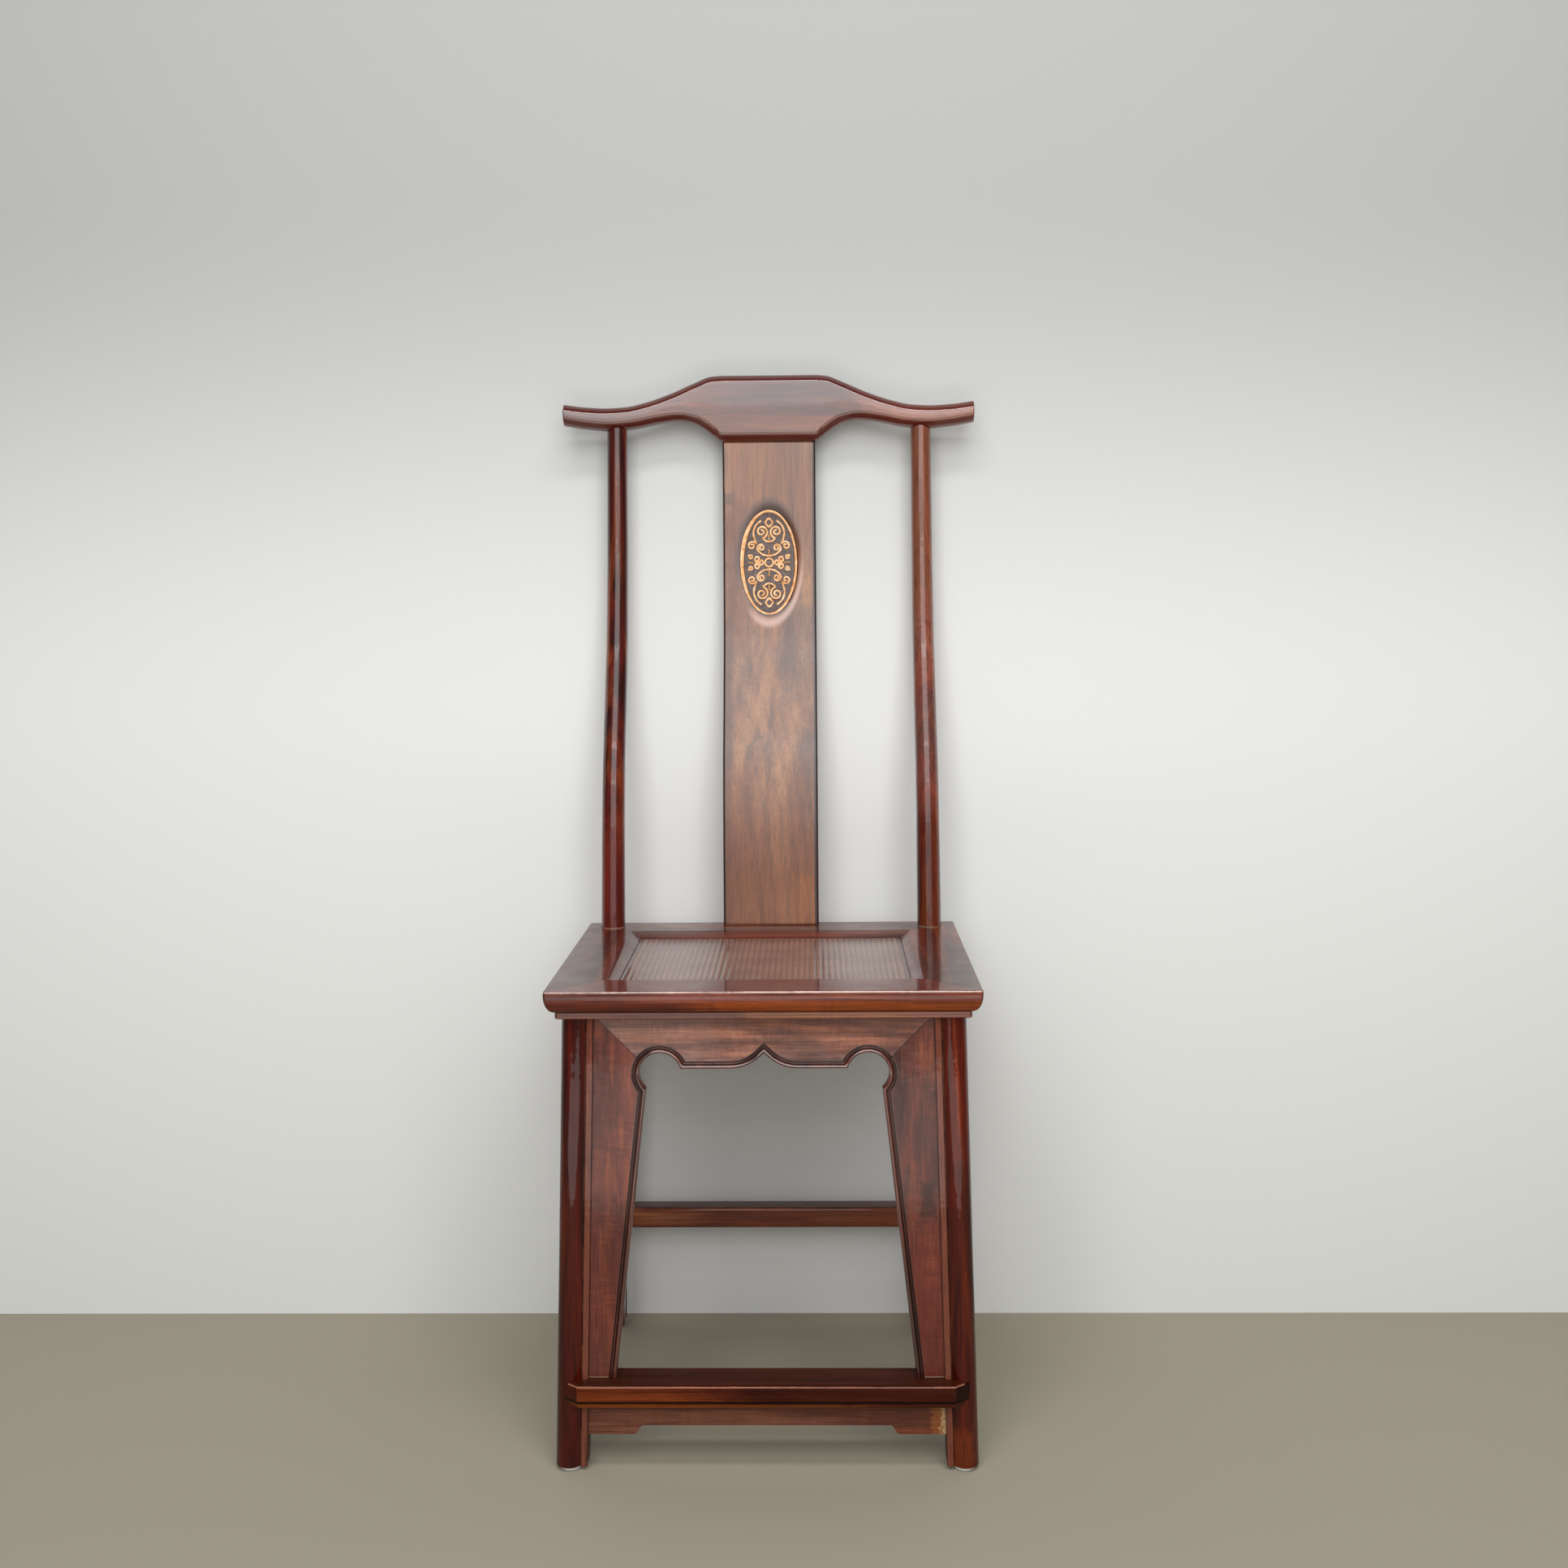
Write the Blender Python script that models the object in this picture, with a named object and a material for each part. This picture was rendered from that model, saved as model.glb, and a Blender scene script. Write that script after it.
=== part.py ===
"""High-back side chair with a yoke-shaped crest rail, framed from mortised and tenoned hardwood.

The chair faces -Y, Z is up and the floor is z = 0. Left and right are as seen from the front, so left is -X.
Every length is in metres. Places are first worked out from the centre of the seat, and the chair's empty
then moves the whole chair so that the middle of its footprint lies on the origin.
"""

import math

import bmesh
import bpy
from mathutils import Matrix, Vector

# Fits and overruns
FIT = 0.0003
OVERRUN = 0.002
EMBED = 0.004

# Seat
SEAT_HEIGHT = 0.500
SEAT_WIDTH = 0.438
SEAT_DEPTH = 0.380

# Seat frame members, seen in section
FRAME_FLAT = 0.055
BEVEL_WIDTH = 0.012
BEVEL_DROP = 0.0065
EDGE_ARRIS = 0.0012
EDGE_FACE = 0.0140
EDGE_CURVE_HEIGHT = 0.0090
EDGE_CURVE_DEPTH = 0.0065
EDGE_BEAD_HEIGHT = 0.0072
EDGE_BEAD_SETBACK = 0.0072
EDGE_QUIRK = 0.0008
FRAME_TENON_WIDTH = 0.013
FRAME_TENON_THICKNESS = 0.008
FRAME_TENON_WALL = 0.0015
FRAME_TENON_END_WALL = 0.020

# Seat board, mat and battens
MAT_THICKNESS = 0.0022
BOARD_THICKNESS = 0.008
BOARD_GROOVE = 0.006
BATTEN_WIDTH = 0.024
BATTEN_HEIGHT = 0.0105
BATTEN_SPACING = 0.150
BATTEN_TENON_WIDTH = 0.016
BATTEN_TENON_THICKNESS = 0.005
BATTEN_TENON_LENGTH = 0.012

# Legs
LEG_SIZE = 0.033
LEG_ROUND = 0.0140
LEG_STRIP = 0.0060
LEG_STRIP_SETBACK = 0.0045
LEG_QUIRK = 0.0013
LEG_ARRIS = 0.0010
LEG_INSET_SIDE = 0.031
FRONT_LEG_INSET = 0.036
REAR_LEG_INSET = 0.028
SPLAY_SIDE = 0.0127
SPLAY_FRONT = 0.019
SPLAY_REAR = 0.021
LEG_TENON = 0.012
LEG_TENON_LENGTH = 0.014

# Glides under the feet
GLIDE_RADIUS = 0.0090
GLIDE_THICKNESS = 0.0040
GLIDE_CHAMFER = 0.0010
GLIDE_SHANK_RADIUS = 0.0013
GLIDE_SHANK_LENGTH = 0.0100

# Back posts, which are one piece with the rear legs
POST_RADIUS_SEAT = 0.01425
POST_RADIUS_TOP = 0.0120
POST_LEAN = 0.005
RECLINE = 0.088
POST_TENON_RADIUS = 0.0065
POST_TENON_LENGTH = 0.016

# Crest rail
CREST_LENGTH = 0.4925
CREST_HEIGHT = 0.079
CREST_LIFT = 0.5767
CREST_THICKNESS = 0.028
CREST_BOW = 0.006
CREST_ROUND_HEIGHT = 0.0095
CREST_ROUND_DEPTH = 0.0085
CREST_END_ROUND = 0.0012

# Back splat
SPLAT_WIDTH_FOOT = 0.1140
SPLAT_WIDTH_TOP = 0.1124
SPLAT_THICKNESS = 0.0110
SPLAT_ARRIS = 0.0025
SPLAT_BEHIND_POSTS = 0.014
SPLAT_TENON_THICKNESS = 0.0060
SPLAT_TENON_SHOULDER = 0.007
SPLAT_TENON_LENGTH = 0.014
SPLAT_TONGUE_LENGTH = 0.009
DISH_WIDTH = 0.0786
DISH_HEIGHT = 0.146
DISH_DEPTH = 0.0030
DISH_BELOW_CREST = 0.144
DISH_ROUND_DEPTH = 0.0120

# Aprons and spandrels
PANEL_THICKNESS = 0.010
HOUSING_DEPTH = 0.004
HOUSING_SETBACK = 0.0030
APRON_BEAD_WIDTH = 0.0040
APRON_BEAD_HEIGHT = 0.0019
APRON_QUIRK_WIDTH = 0.0009
APRON_FILLET_WIDTH = 0.0015
APRON_FILLET_HEIGHT = 0.0010
APRON_GROOVE_WIDTH = 0.0014
APRON_GROOVE_DEPTH = 0.0010
FRONT_APRON_DROP = 0.0550
CUSP_RISE = 0.0155
CUSP_HALF_WIDTH = 0.0355
LOBE_RADIUS = 0.0211
LOBE_FROM_LEG = 0.0660
LOBE_DROP = 0.0598
FRONT_SPANDREL_FOOT = 0.0282
SIDE_APRON_DROP = 0.042
SIDE_CORNER_RADIUS = 0.014
SIDE_SPANDREL_TOP = 0.040
SIDE_SPANDREL_FOOT = 0.024
REAR_APRON_DROP = 0.036
REAR_BRACKET_DROP = 0.060
REAR_BRACKET_WIDTH = 0.012

# Footrail and the board under it
FOOTRAIL_TOP = 0.0955
FOOTRAIL_FACE = 0.0190
FOOTRAIL_BEAD = 0.0050
FOOTRAIL_BEAD_SETBACK = 0.0020
FOOTRAIL_ARRIS = 0.0035
FOOTRAIL_PROUD = 0.0115
FOOTRAIL_BACK_INSET = 0.0015
FOOTRAIL_END_INSET = 0.0082
FOOTRAIL_CHAMFER_WIDTH = 0.0150
FOOTRAIL_CHAMFER_DEPTH = 0.0120
FOOTRAIL_TENON_WIDTH = 0.012
FOOTRAIL_TENON_HEIGHT = 0.012
FOOTRAIL_TENON_LENGTH = 0.016
FOOT_APRON_DROP = 0.0256
FOOT_BRACKET_DROP = 0.0347
FOOT_BRACKET_WIDTH = 0.048
FOOT_BRACKET_STEP = 0.008

# Stretchers
SIDE_STRETCHER_TOP = 0.1250
REAR_STRETCHER_TOP = 0.1540
SIDE_STRETCHER_HEIGHT = 0.0245
SIDE_STRETCHER_DEPTH = 0.0200
REAR_STRETCHER_HEIGHT = 0.0255
REAR_STRETCHER_DEPTH = 0.0280
STRETCHER_ROUND = 0.0040
STRETCHER_TENON_WIDTH = 0.010
STRETCHER_TENON_HEIGHT = 0.015
STRETCHER_TENON_LENGTH = 0.016
TENON_ROUND = 0.0010

# Shapes as shares of the sizes that they follow
BACK_CURVE_SHARES = ((0, 0), (0.18, 0.09), (0.32, 0.24), (0.46, 0.55), (0.60, 0.80), (0.78, 0.94), (1, 1))
CREST_TOP_SHARES = ((0, 1), (0.22, 1), (0.28, 0.987), (0.36, 0.894), (0.48, 0.733), (0.60, 0.605),
                    (0.70, 0.537), (0.80, 0.520), (0.90, 0.536), (1, 0.575))
CREST_BOTTOM_SHARES = ((0.2395, 0), (0.28, 0.106), (0.32, 0.199), (0.36, 0.265), (0.44, 0.311),
                       (0.54, 0.276), (0.66, 0.204), (0.78, 0.175), (0.89, 0.200), (1, 0.254))
CREST_STATION_SHARES = (0.11, 0.20, 0.2395, 0.26, 0.28, 0.30, 0.33, 0.36, 0.40, 0.44, 0.49, 0.54, 0.60,
                        0.66, 0.72, 0.78, 0.84, 0.90, 0.96)
DISH_SHARES = (0.30, 0.60, 0.75, 0.80, 0.86, 0.91, 0.95, 0.98, 0.996)
CUSP_POWER = 2.3
LOBE_END_ANGLE = math.radians(-48)
CREST_ROUND_SHARE = 0.92
SHARP_ANGLE = math.radians(32)

# Counts of faces round the curved stretches
POST_SIDES = 20
POST_RINGS = 18
SPLAT_RINGS = 20
DISH_SIDES = 40
LEG_ROUND_STEPS = 12
CORNER_STEPS = 3
LOBE_STEP_ANGLE = math.radians(14)
CUSP_STEPS = 5
SPANDREL_STEPS = 3
SHANK_SIDES = 12

# Heights that follow from the sizes above
FRAME_THICKNESS = EDGE_FACE + EDGE_CURVE_HEIGHT + EDGE_BEAD_HEIGHT
FRAME_UNDER = SEAT_HEIGHT - FRAME_THICKNESS
FRAME_WIDTH = FRAME_FLAT + BEVEL_WIDTH
LEG_TOP = FRAME_UNDER - FIT
LEG_FOOT = GLIDE_THICKNESS + FIT
CREST_BOTTOM = SEAT_HEIGHT + CREST_LIFT
BOARD_TOP = SEAT_HEIGHT - BEVEL_DROP - MAT_THICKNESS - FIT
BOARD_UNDER = BOARD_TOP - BOARD_THICKNESS
FOOTRAIL_UNDER = FOOTRAIL_TOP - FOOTRAIL_FACE - FOOTRAIL_BEAD
PANEL_FRONT = LEG_STRIP_SETBACK + HOUSING_SETBACK - LEG_SIZE / 2 + FIT
PANEL_BACK = PANEL_FRONT + PANEL_THICKNESS

LEFT, RIGHT = -1, 1
FRONT, REAR = -1, 1


# Wood and other materials

def material(name, colour, roughness, coat=0.0):
    """A plain surface with the colour that the piece shows."""
    made = bpy.data.materials.new(name)
    made.use_nodes = True
    shader = made.node_tree.nodes["Principled BSDF"]
    shader.inputs["Base Color"].default_value = (*colour, 1.0)
    shader.inputs["Roughness"].default_value = roughness
    shader.inputs["Metallic"].default_value = 0.0
    shader.inputs["Coat Weight"].default_value = coat
    made.diffuse_color = (*colour, 1.0)
    return made


def crest_wood():
    return material("crest_lacquered_wood", (0.135, 0.055, 0.040), 0.30, 0.5)


def splat_wood():
    return material("splat_lacquered_wood", (0.175, 0.080, 0.052), 0.32, 0.5)


def post_wood():
    return material("post_lacquered_wood", (0.095, 0.024, 0.017), 0.25, 0.6)


def leg_wood():
    return material("leg_lacquered_wood", (0.090, 0.026, 0.020), 0.26, 0.6)


def frame_wood():
    return material("frame_lacquered_wood", (0.110, 0.034, 0.024), 0.24, 0.6)


def apron_wood():
    return material("apron_lacquered_wood", (0.150, 0.058, 0.038), 0.34, 0.4)


def rail_wood():
    return material("rail_lacquered_wood", (0.130, 0.046, 0.030), 0.30, 0.5)


def inner_wood():
    return material("unlacquered_wood", (0.300, 0.190, 0.110), 0.75)


def mat_cane():
    return material("woven_cane", (0.120, 0.072, 0.052), 0.45)


def glide_plastic():
    return material("white_plastic", (0.800, 0.800, 0.780), 0.40)


# Building solids

def fill_loft(bm, rings):
    """Adds one closed body to the mesh, through rings that have equally many points."""
    loops = [[bm.verts.new(point) for point in ring] for ring in rings]
    count = len(loops[0])
    for lower, upper in zip(loops, loops[1:]):
        for index in range(count):
            after = (index + 1) % count
            bm.faces.new((lower[index], lower[after], upper[after], upper[index]))
    bm.faces.new(tuple(reversed(loops[0])))
    bm.faces.new(loops[-1])


def body_mesh(name, lofts):
    """A mesh of one or more closed bodies with their faces pointing out."""
    bm = bmesh.new()
    for rings in lofts:
        fill_loft(bm, rings)
    bmesh.ops.recalc_face_normals(bm, faces=bm.faces)
    mesh = bpy.data.meshes.new(name)
    bm.to_mesh(mesh)
    bm.free()
    mesh.shade_smooth()
    mesh.set_sharp_from_angle(angle=SHARP_ANGLE)
    return mesh


def piece(name, lofts, finish, origin=(0, 0, 0)):
    """One sub-part of the chair, with its own origin on it."""
    mesh = body_mesh(name, lofts)
    mesh.transform(Matrix.Translation(-Vector(origin)))
    mesh.materials.append(finish)
    made = bpy.data.objects.new(name, mesh)
    made.location = origin
    made.parent = chair
    bpy.context.scene.collection.objects.link(made)
    return made


def helper(name, lofts):
    """A shape that is joined to a sub-part or cut out of it, and is no part itself."""
    made = bpy.data.objects.new(name, body_mesh(name, lofts))
    made.hide_render = True
    made.display_type = 'WIRE'
    made.parent = chair
    bpy.context.scene.collection.objects.link(made)
    return made


def combine(target, other, operation):
    step = target.modifiers.new(other.name, 'BOOLEAN')
    step.solver = 'EXACT'
    step.operation = operation
    step.object = other


def join(target, lofts, name):
    combine(target, helper(target.name + name, lofts), 'UNION')


def cut(target, lofts, name):
    combine(target, helper(target.name + name, lofts), 'DIFFERENCE')


# Outlines and solids of common form

def box(low, high):
    """The two rings of an upright box."""
    corners = ((low[0], low[1]), (high[0], low[1]), (high[0], high[1]), (low[0], high[1]))
    return [[Vector((x, y, z)) for x, y in corners] for z in (low[2], high[2])]


def upright_cylinder(x, y, low, high, radius, sides):
    angles = [2 * math.pi * index / sides for index in range(sides)]
    return [[Vector((x + radius * math.cos(a), y + radius * math.sin(a), z)) for a in angles] for z in (low, high)]


def rounded_rectangle(width, height, radius, steps=CORNER_STEPS):
    """Points round a rectangle with round corners, centred on zero."""
    points = []
    for quarter, (side_u, side_v) in enumerate(((1, 1), (-1, 1), (-1, -1), (1, -1))):
        for step in range(steps + 1):
            angle = (quarter + step / steps) * math.pi / 2
            points.append((side_u * (width / 2 - radius) + radius * math.cos(angle),
                           side_v * (height / 2 - radius) + radius * math.sin(angle)))
    return points


def smooth_through(shares, place):
    """Height at a place of the smooth curve through the points, which never overshoots them."""
    places = [point[0] for point in shares]
    values = [point[1] for point in shares]
    slopes = [(values[i + 1] - values[i]) / (places[i + 1] - places[i]) for i in range(len(shares) - 1)]
    tangents = [slopes[0]]
    for before, after in zip(slopes, slopes[1:]):
        tangents.append(2 * before * after / (before + after) if before * after > 0 else 0)
    tangents.append(slopes[-1])
    index = 0
    while index < len(slopes) - 1 and place > places[index + 1]:
        index += 1
    span = places[index + 1] - places[index]
    t = (place - places[index]) / span
    start = (1 + 2 * t) * (1 - t) ** 2 * values[index] + t * (1 - t) ** 2 * span * tangents[index]
    end = t ** 2 * (3 - 2 * t) * values[index + 1] - t ** 2 * (1 - t) * span * tangents[index + 1]
    return start + end


# Legs: places and section

def splay_share(z):
    return (FRAME_UNDER - z) / FRAME_UNDER


def leg_x(z):
    """Distance of a leg's axis from the chair's middle plane."""
    return SEAT_WIDTH / 2 - LEG_INSET_SIDE + SPLAY_SIDE * splay_share(z)


def leg_y(end, z):
    """Place of a leg's axis along Y, in front of or behind the seat's centre."""
    if end == FRONT:
        return -SEAT_DEPTH / 2 + FRONT_LEG_INSET - SPLAY_FRONT * splay_share(z)
    return SEAT_DEPTH / 2 - REAR_LEG_INSET + SPLAY_REAR * splay_share(z)


def leg_section(grow=0.0, grooved=True):
    """Section of a leg, outer side round and inner side square, with both coordinates pointing inwards."""
    half = LEG_SIZE / 2 + grow
    strip_face = LEG_STRIP_SETBACK - LEG_SIZE / 2 - grow
    strip_end = LEG_SIZE / 2 - LEG_STRIP
    quirk = LEG_QUIRK if grooved else 0
    centre = LEG_ROUND - LEG_SIZE / 2
    radius = LEG_ROUND + grow
    side = [(half, half - LEG_ARRIS)]
    if grooved:
        groove_back = PANEL_BACK + FIT
        groove_front = PANEL_FRONT - FIT
        side += [(half, groove_back), (half - HOUSING_DEPTH, groove_back)]
        side += [(half - HOUSING_DEPTH, groove_front), (half, groove_front)]
    side += [(half, strip_face), (strip_end, strip_face)]
    if grooved:
        side.append((strip_end - quirk, strip_face + quirk))
    start = math.asin((strip_face + quirk / 2 - centre) / radius)
    sweep = 3 * math.pi / 2 + 2 * start
    angles = [start - sweep * step / LEG_ROUND_STEPS for step in range(LEG_ROUND_STEPS + 1)]
    arc = [(centre + radius * math.cos(angle), centre + radius * math.sin(angle)) for angle in angles]
    return side + arc + [(b, a) for a, b in reversed(side)]


def leg_rings(side, end, section, low, high):
    """One leg's section at two heights, turned to the leg's corner of the chair."""
    return [[Vector((side * (leg_x(z) - a), leg_y(end, z) - end * b, z)) for a, b in section] for z in (low, high)]


def side_name(side):
    return "left" if side == LEFT else "right"


def end_name(end):
    return "front" if end == FRONT else "rear"


# Bars and their tenons

def along_x(y, z):
    """Turns a place along a bar and a place in its section into a point of a bar that runs along X."""
    return lambda s, u, v: Vector((s, y + u, z + v))


def along_y(x, z):
    return lambda s, u, v: Vector((x + u, s, z + v))


def bar_rings(place, shoulder, size, corner, tenon, tenon_length):
    """A bar with round arrises and a tenon at each end. The shoulder gives the bar's end at each height."""
    body = rounded_rectangle(*size, corner)
    tongue = rounded_rectangle(*tenon, TENON_ROUND)
    steps = ((-1, tongue, tenon_length), (-1, tongue, 0), (-1, body, 0), (1, body, 0), (1, tongue, 0),
             (1, tongue, tenon_length))
    return [[place(shoulder(sign, v) + sign * reach, u, v) for u, v in section] for sign, section, reach in steps]


def tongue_rings(place, shoulder, sign, tenon, start, end, grow=0.0):
    """One tenon by itself, or with growth its mortise, between two distances past the shoulder."""
    section = rounded_rectangle(tenon[0] + 2 * grow, tenon[1] + 2 * grow, TENON_ROUND + grow)
    return [[place(shoulder(sign, v) + sign * reach, u, v) for u, v in section] for reach in (start, end)]


def mortise_rings(place, shoulder, sign, tenon, tenon_length):
    return tongue_rings(place, shoulder, sign, tenon, -OVERRUN, tenon_length + FIT, FIT)


def side_stretcher_layout(side):
    z = SIDE_STRETCHER_TOP - SIDE_STRETCHER_HEIGHT / 2

    def shoulder(sign, v):
        return leg_y(sign, z + v) - sign * (LEG_SIZE / 2 + FIT)

    return along_y(side * leg_x(z), z), shoulder


def rear_stretcher_layout():
    z = REAR_STRETCHER_TOP - REAR_STRETCHER_HEIGHT / 2

    def shoulder(sign, v):
        return sign * (leg_x(z + v) - LEG_SIZE / 2 - FIT)

    return along_x(leg_y(REAR, z), z), shoulder


def footrail_layout():
    z = FOOTRAIL_TOP - FOOTRAIL_FACE / 2

    def shoulder(sign, v):
        return sign * (leg_x(z + v) - LEG_SIZE / 2 - FIT)

    return along_x(leg_y(FRONT, z), z), shoulder


def batten_layout(side):
    z = BOARD_UNDER - FIT - BATTEN_HEIGHT / 2

    def shoulder(sign, v):
        return sign * (SEAT_DEPTH / 2 - FRAME_WIDTH - FIT)

    return along_y(side * BATTEN_SPACING / 2, z), shoulder


STRETCHER_TENON = (STRETCHER_TENON_WIDTH, STRETCHER_TENON_HEIGHT)
FOOTRAIL_TENON = (FOOTRAIL_TENON_WIDTH, FOOTRAIL_TENON_HEIGHT)
BATTEN_TENON = (BATTEN_TENON_WIDTH, BATTEN_TENON_THICKNESS)


# Front legs

def front_leg_tenon(side, grow=0.0):
    x = side * leg_x(FRAME_UNDER)
    y = leg_y(FRONT, FRAME_UNDER)
    half = LEG_TENON / 2 + grow
    return box((x - half, y - half, LEG_TOP - EMBED), (x + half, y + half, FRAME_UNDER + LEG_TENON_LENGTH + grow))


def shank_hole(side, end):
    return upright_cylinder(side * leg_x(LEG_FOOT), leg_y(end, LEG_FOOT), LEG_FOOT - OVERRUN,
                            LEG_FOOT + GLIDE_SHANK_LENGTH + FIT, GLIDE_SHANK_RADIUS + FIT, SHANK_SIDES)


def foot_place(side, end):
    return (side * leg_x(LEG_FOOT), leg_y(end, LEG_FOOT), LEG_FOOT)


def make_front_leg(side, finish):
    rings = leg_rings(side, FRONT, leg_section(), LEG_FOOT, LEG_TOP)
    leg = piece("front_leg_" + side_name(side), [rings], finish, foot_place(side, FRONT))
    join(leg, [front_leg_tenon(side)], "_tenon")
    mortises = [
        mortise_rings(*footrail_layout(), side, FOOTRAIL_TENON, FOOTRAIL_TENON_LENGTH),
        mortise_rings(*side_stretcher_layout(side), FRONT, STRETCHER_TENON, STRETCHER_TENON_LENGTH),
        shank_hole(side, FRONT),
    ]
    cut(leg, mortises, "_mortises")


# Back curve, posts, crest rail and splat

def crest_outline(shares, x):
    """Height of an outline of the crest rail above the rail's lowest line, at a distance from the middle."""
    share = min(max(x / (CREST_LENGTH / 2), shares[0][0]), 1)
    return CREST_HEIGHT * smooth_through(shares, share)


POST_TOP_X = SEAT_WIDTH / 2 - LEG_INSET_SIDE - POST_LEAN
POST_TOP_Y = SEAT_DEPTH / 2 - REAR_LEG_INSET + RECLINE
POST_RISE = CREST_LIFT + crest_outline(CREST_BOTTOM_SHARES, POST_TOP_X)


def back_recline(z):
    """How far the back has swept rearwards at a height."""
    share = min(max((z - SEAT_HEIGHT) / POST_RISE, 0), 1)
    return RECLINE * smooth_through(BACK_CURVE_SHARES, share)


def post_centre(side, z):
    share = max((z - SEAT_HEIGHT) / POST_RISE, 0)
    return Vector((side * (leg_x(FRAME_UNDER) - POST_LEAN * share), leg_y(REAR, FRAME_UNDER) + back_recline(z), z))


def post_rings(side):
    """The round post, square to its own curve, from inside the leg to inside the crest rail."""
    top = SEAT_HEIGHT + POST_RISE
    neck = LEG_SIZE / 2 - HOUSING_DEPTH - FIT
    levels = [(FRAME_UNDER - EMBED, neck), (FRAME_UNDER, neck), (FRAME_UNDER, POST_RADIUS_SEAT)]
    for step in range(POST_RINGS + 1):
        share = step / POST_RINGS
        levels.append((SEAT_HEIGHT + POST_RISE * share,
                       POST_RADIUS_SEAT + (POST_RADIUS_TOP - POST_RADIUS_SEAT) * share))
    levels.append((top + CREST_ROUND_HEIGHT, POST_RADIUS_TOP))
    rings = []
    for z, radius in levels:
        centre = post_centre(side, z)
        tangent = Vector((0, 0, 1))
        if SEAT_HEIGHT < z < top:
            tangent = (post_centre(side, z + OVERRUN) - post_centre(side, z - OVERRUN)).normalized()
        across = (Vector((1, 0, 0)) - tangent * tangent.x).normalized()
        back = tangent.cross(across)
        angles = [2 * math.pi * index / POST_SIDES for index in range(POST_SIDES)]
        rings.append([centre + radius * (math.cos(a) * across + math.sin(a) * back) for a in angles])
    return rings


def post_tenon(side, grow=0.0):
    """The round tenon on a post's top, or with growth its hole in the crest rail."""
    low = SEAT_HEIGHT + POST_RISE - EMBED - grow
    high = SEAT_HEIGHT + POST_RISE + POST_TENON_LENGTH + grow
    return upright_cylinder(side * POST_TOP_X, POST_TOP_Y, low, high, POST_TENON_RADIUS + grow, POST_SIDES)


def crest_rings(grow=0.0):
    """The crest rail as sections from its left tip to its right tip."""
    half_length = CREST_LENGTH / 2
    tip_share = 1 - CREST_END_ROUND / half_length
    shares = [0, *CREST_STATION_SHARES, tip_share, 1]
    stations = [-share for share in reversed(shares[1:])] + shares
    rings = []
    for share in stations:
        x = share * half_length
        inset = CREST_END_ROUND if abs(share) == 1 else 0
        low = CREST_BOTTOM + crest_outline(CREST_BOTTOM_SHARES, abs(x)) + inset - grow
        high = CREST_BOTTOM + crest_outline(CREST_TOP_SHARES, abs(x)) - inset + grow
        half_depth = CREST_THICKNESS / 2 - inset + grow
        middle = (low + high) / 2
        half_height = (high - low) / 2
        round_height = min(CREST_ROUND_HEIGHT, half_height * CREST_ROUND_SHARE)
        y = POST_TOP_Y + CREST_BOW * (1 - (x / POST_TOP_X) ** 2)
        reach = math.copysign(grow, share) if abs(share) == 1 else 0
        ring = []
        for quarter, (side_y, side_z) in enumerate(((1, 1), (-1, 1), (-1, -1), (1, -1))):
            for step in range(CORNER_STEPS + 1):
                angle = (quarter + step / CORNER_STEPS) * math.pi / 2
                ring.append(Vector((
                    x + reach,
                    y + side_y * (half_depth - CREST_ROUND_DEPTH) + CREST_ROUND_DEPTH * math.cos(angle),
                    middle + side_z * (half_height - round_height) + round_height * math.sin(angle))))
        rings.append(ring)
    return rings


def make_rear_post(side, finish):
    rings = leg_rings(side, REAR, leg_section(), LEG_FOOT, LEG_TOP)
    post = piece("rear_post_" + side_name(side), [rings], finish, foot_place(side, REAR))
    join(post, [post_rings(side)], "_upper")
    cut(post, [crest_rings(FIT)], "_cope")
    join(post, [post_tenon(side)], "_tenon")
    mortises = [
        mortise_rings(*rear_stretcher_layout(), side, STRETCHER_TENON, STRETCHER_TENON_LENGTH),
        mortise_rings(*side_stretcher_layout(side), REAR, STRETCHER_TENON, STRETCHER_TENON_LENGTH),
        shank_hole(side, REAR),
    ]
    cut(post, mortises, "_mortises")


def splat_tongue(grow=0.0):
    """The tongue on the splat's top, or with growth its slot in the crest rail."""
    half = SPLAT_WIDTH_TOP / 2 - SPLAT_TENON_SHOULDER + grow
    y = POST_TOP_Y + CREST_BOW
    thick = SPLAT_TENON_THICKNESS / 2 + grow
    return box((-half, y - thick, CREST_BOTTOM - EMBED - grow),
               (half, y + thick, CREST_BOTTOM + SPLAT_TONGUE_LENGTH + grow))


def splat_y(z):
    share = min(max((z - SEAT_HEIGHT) / CREST_LIFT, 0), 1)
    set_back = SPLAT_BEHIND_POSTS + (CREST_BOW - SPLAT_BEHIND_POSTS) * share
    return leg_y(REAR, FRAME_UNDER) + back_recline(z) + set_back


def splat_slope(z):
    return (splat_y(z + OVERRUN) - splat_y(z - OVERRUN)) / (2 * OVERRUN)


def splat_tenon(grow=0.0):
    """The tenon on the splat's foot, or with growth its mortise in the rear frame member."""
    half = SPLAT_WIDTH_FOOT / 2 - SPLAT_TENON_SHOULDER + grow
    thick = SPLAT_TENON_THICKNESS / 2 + grow
    y = splat_y(SEAT_HEIGHT)
    return box((-half, y - thick, SEAT_HEIGHT - SPLAT_TENON_LENGTH - grow), (half, y + thick, SEAT_HEIGHT + EMBED))


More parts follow.
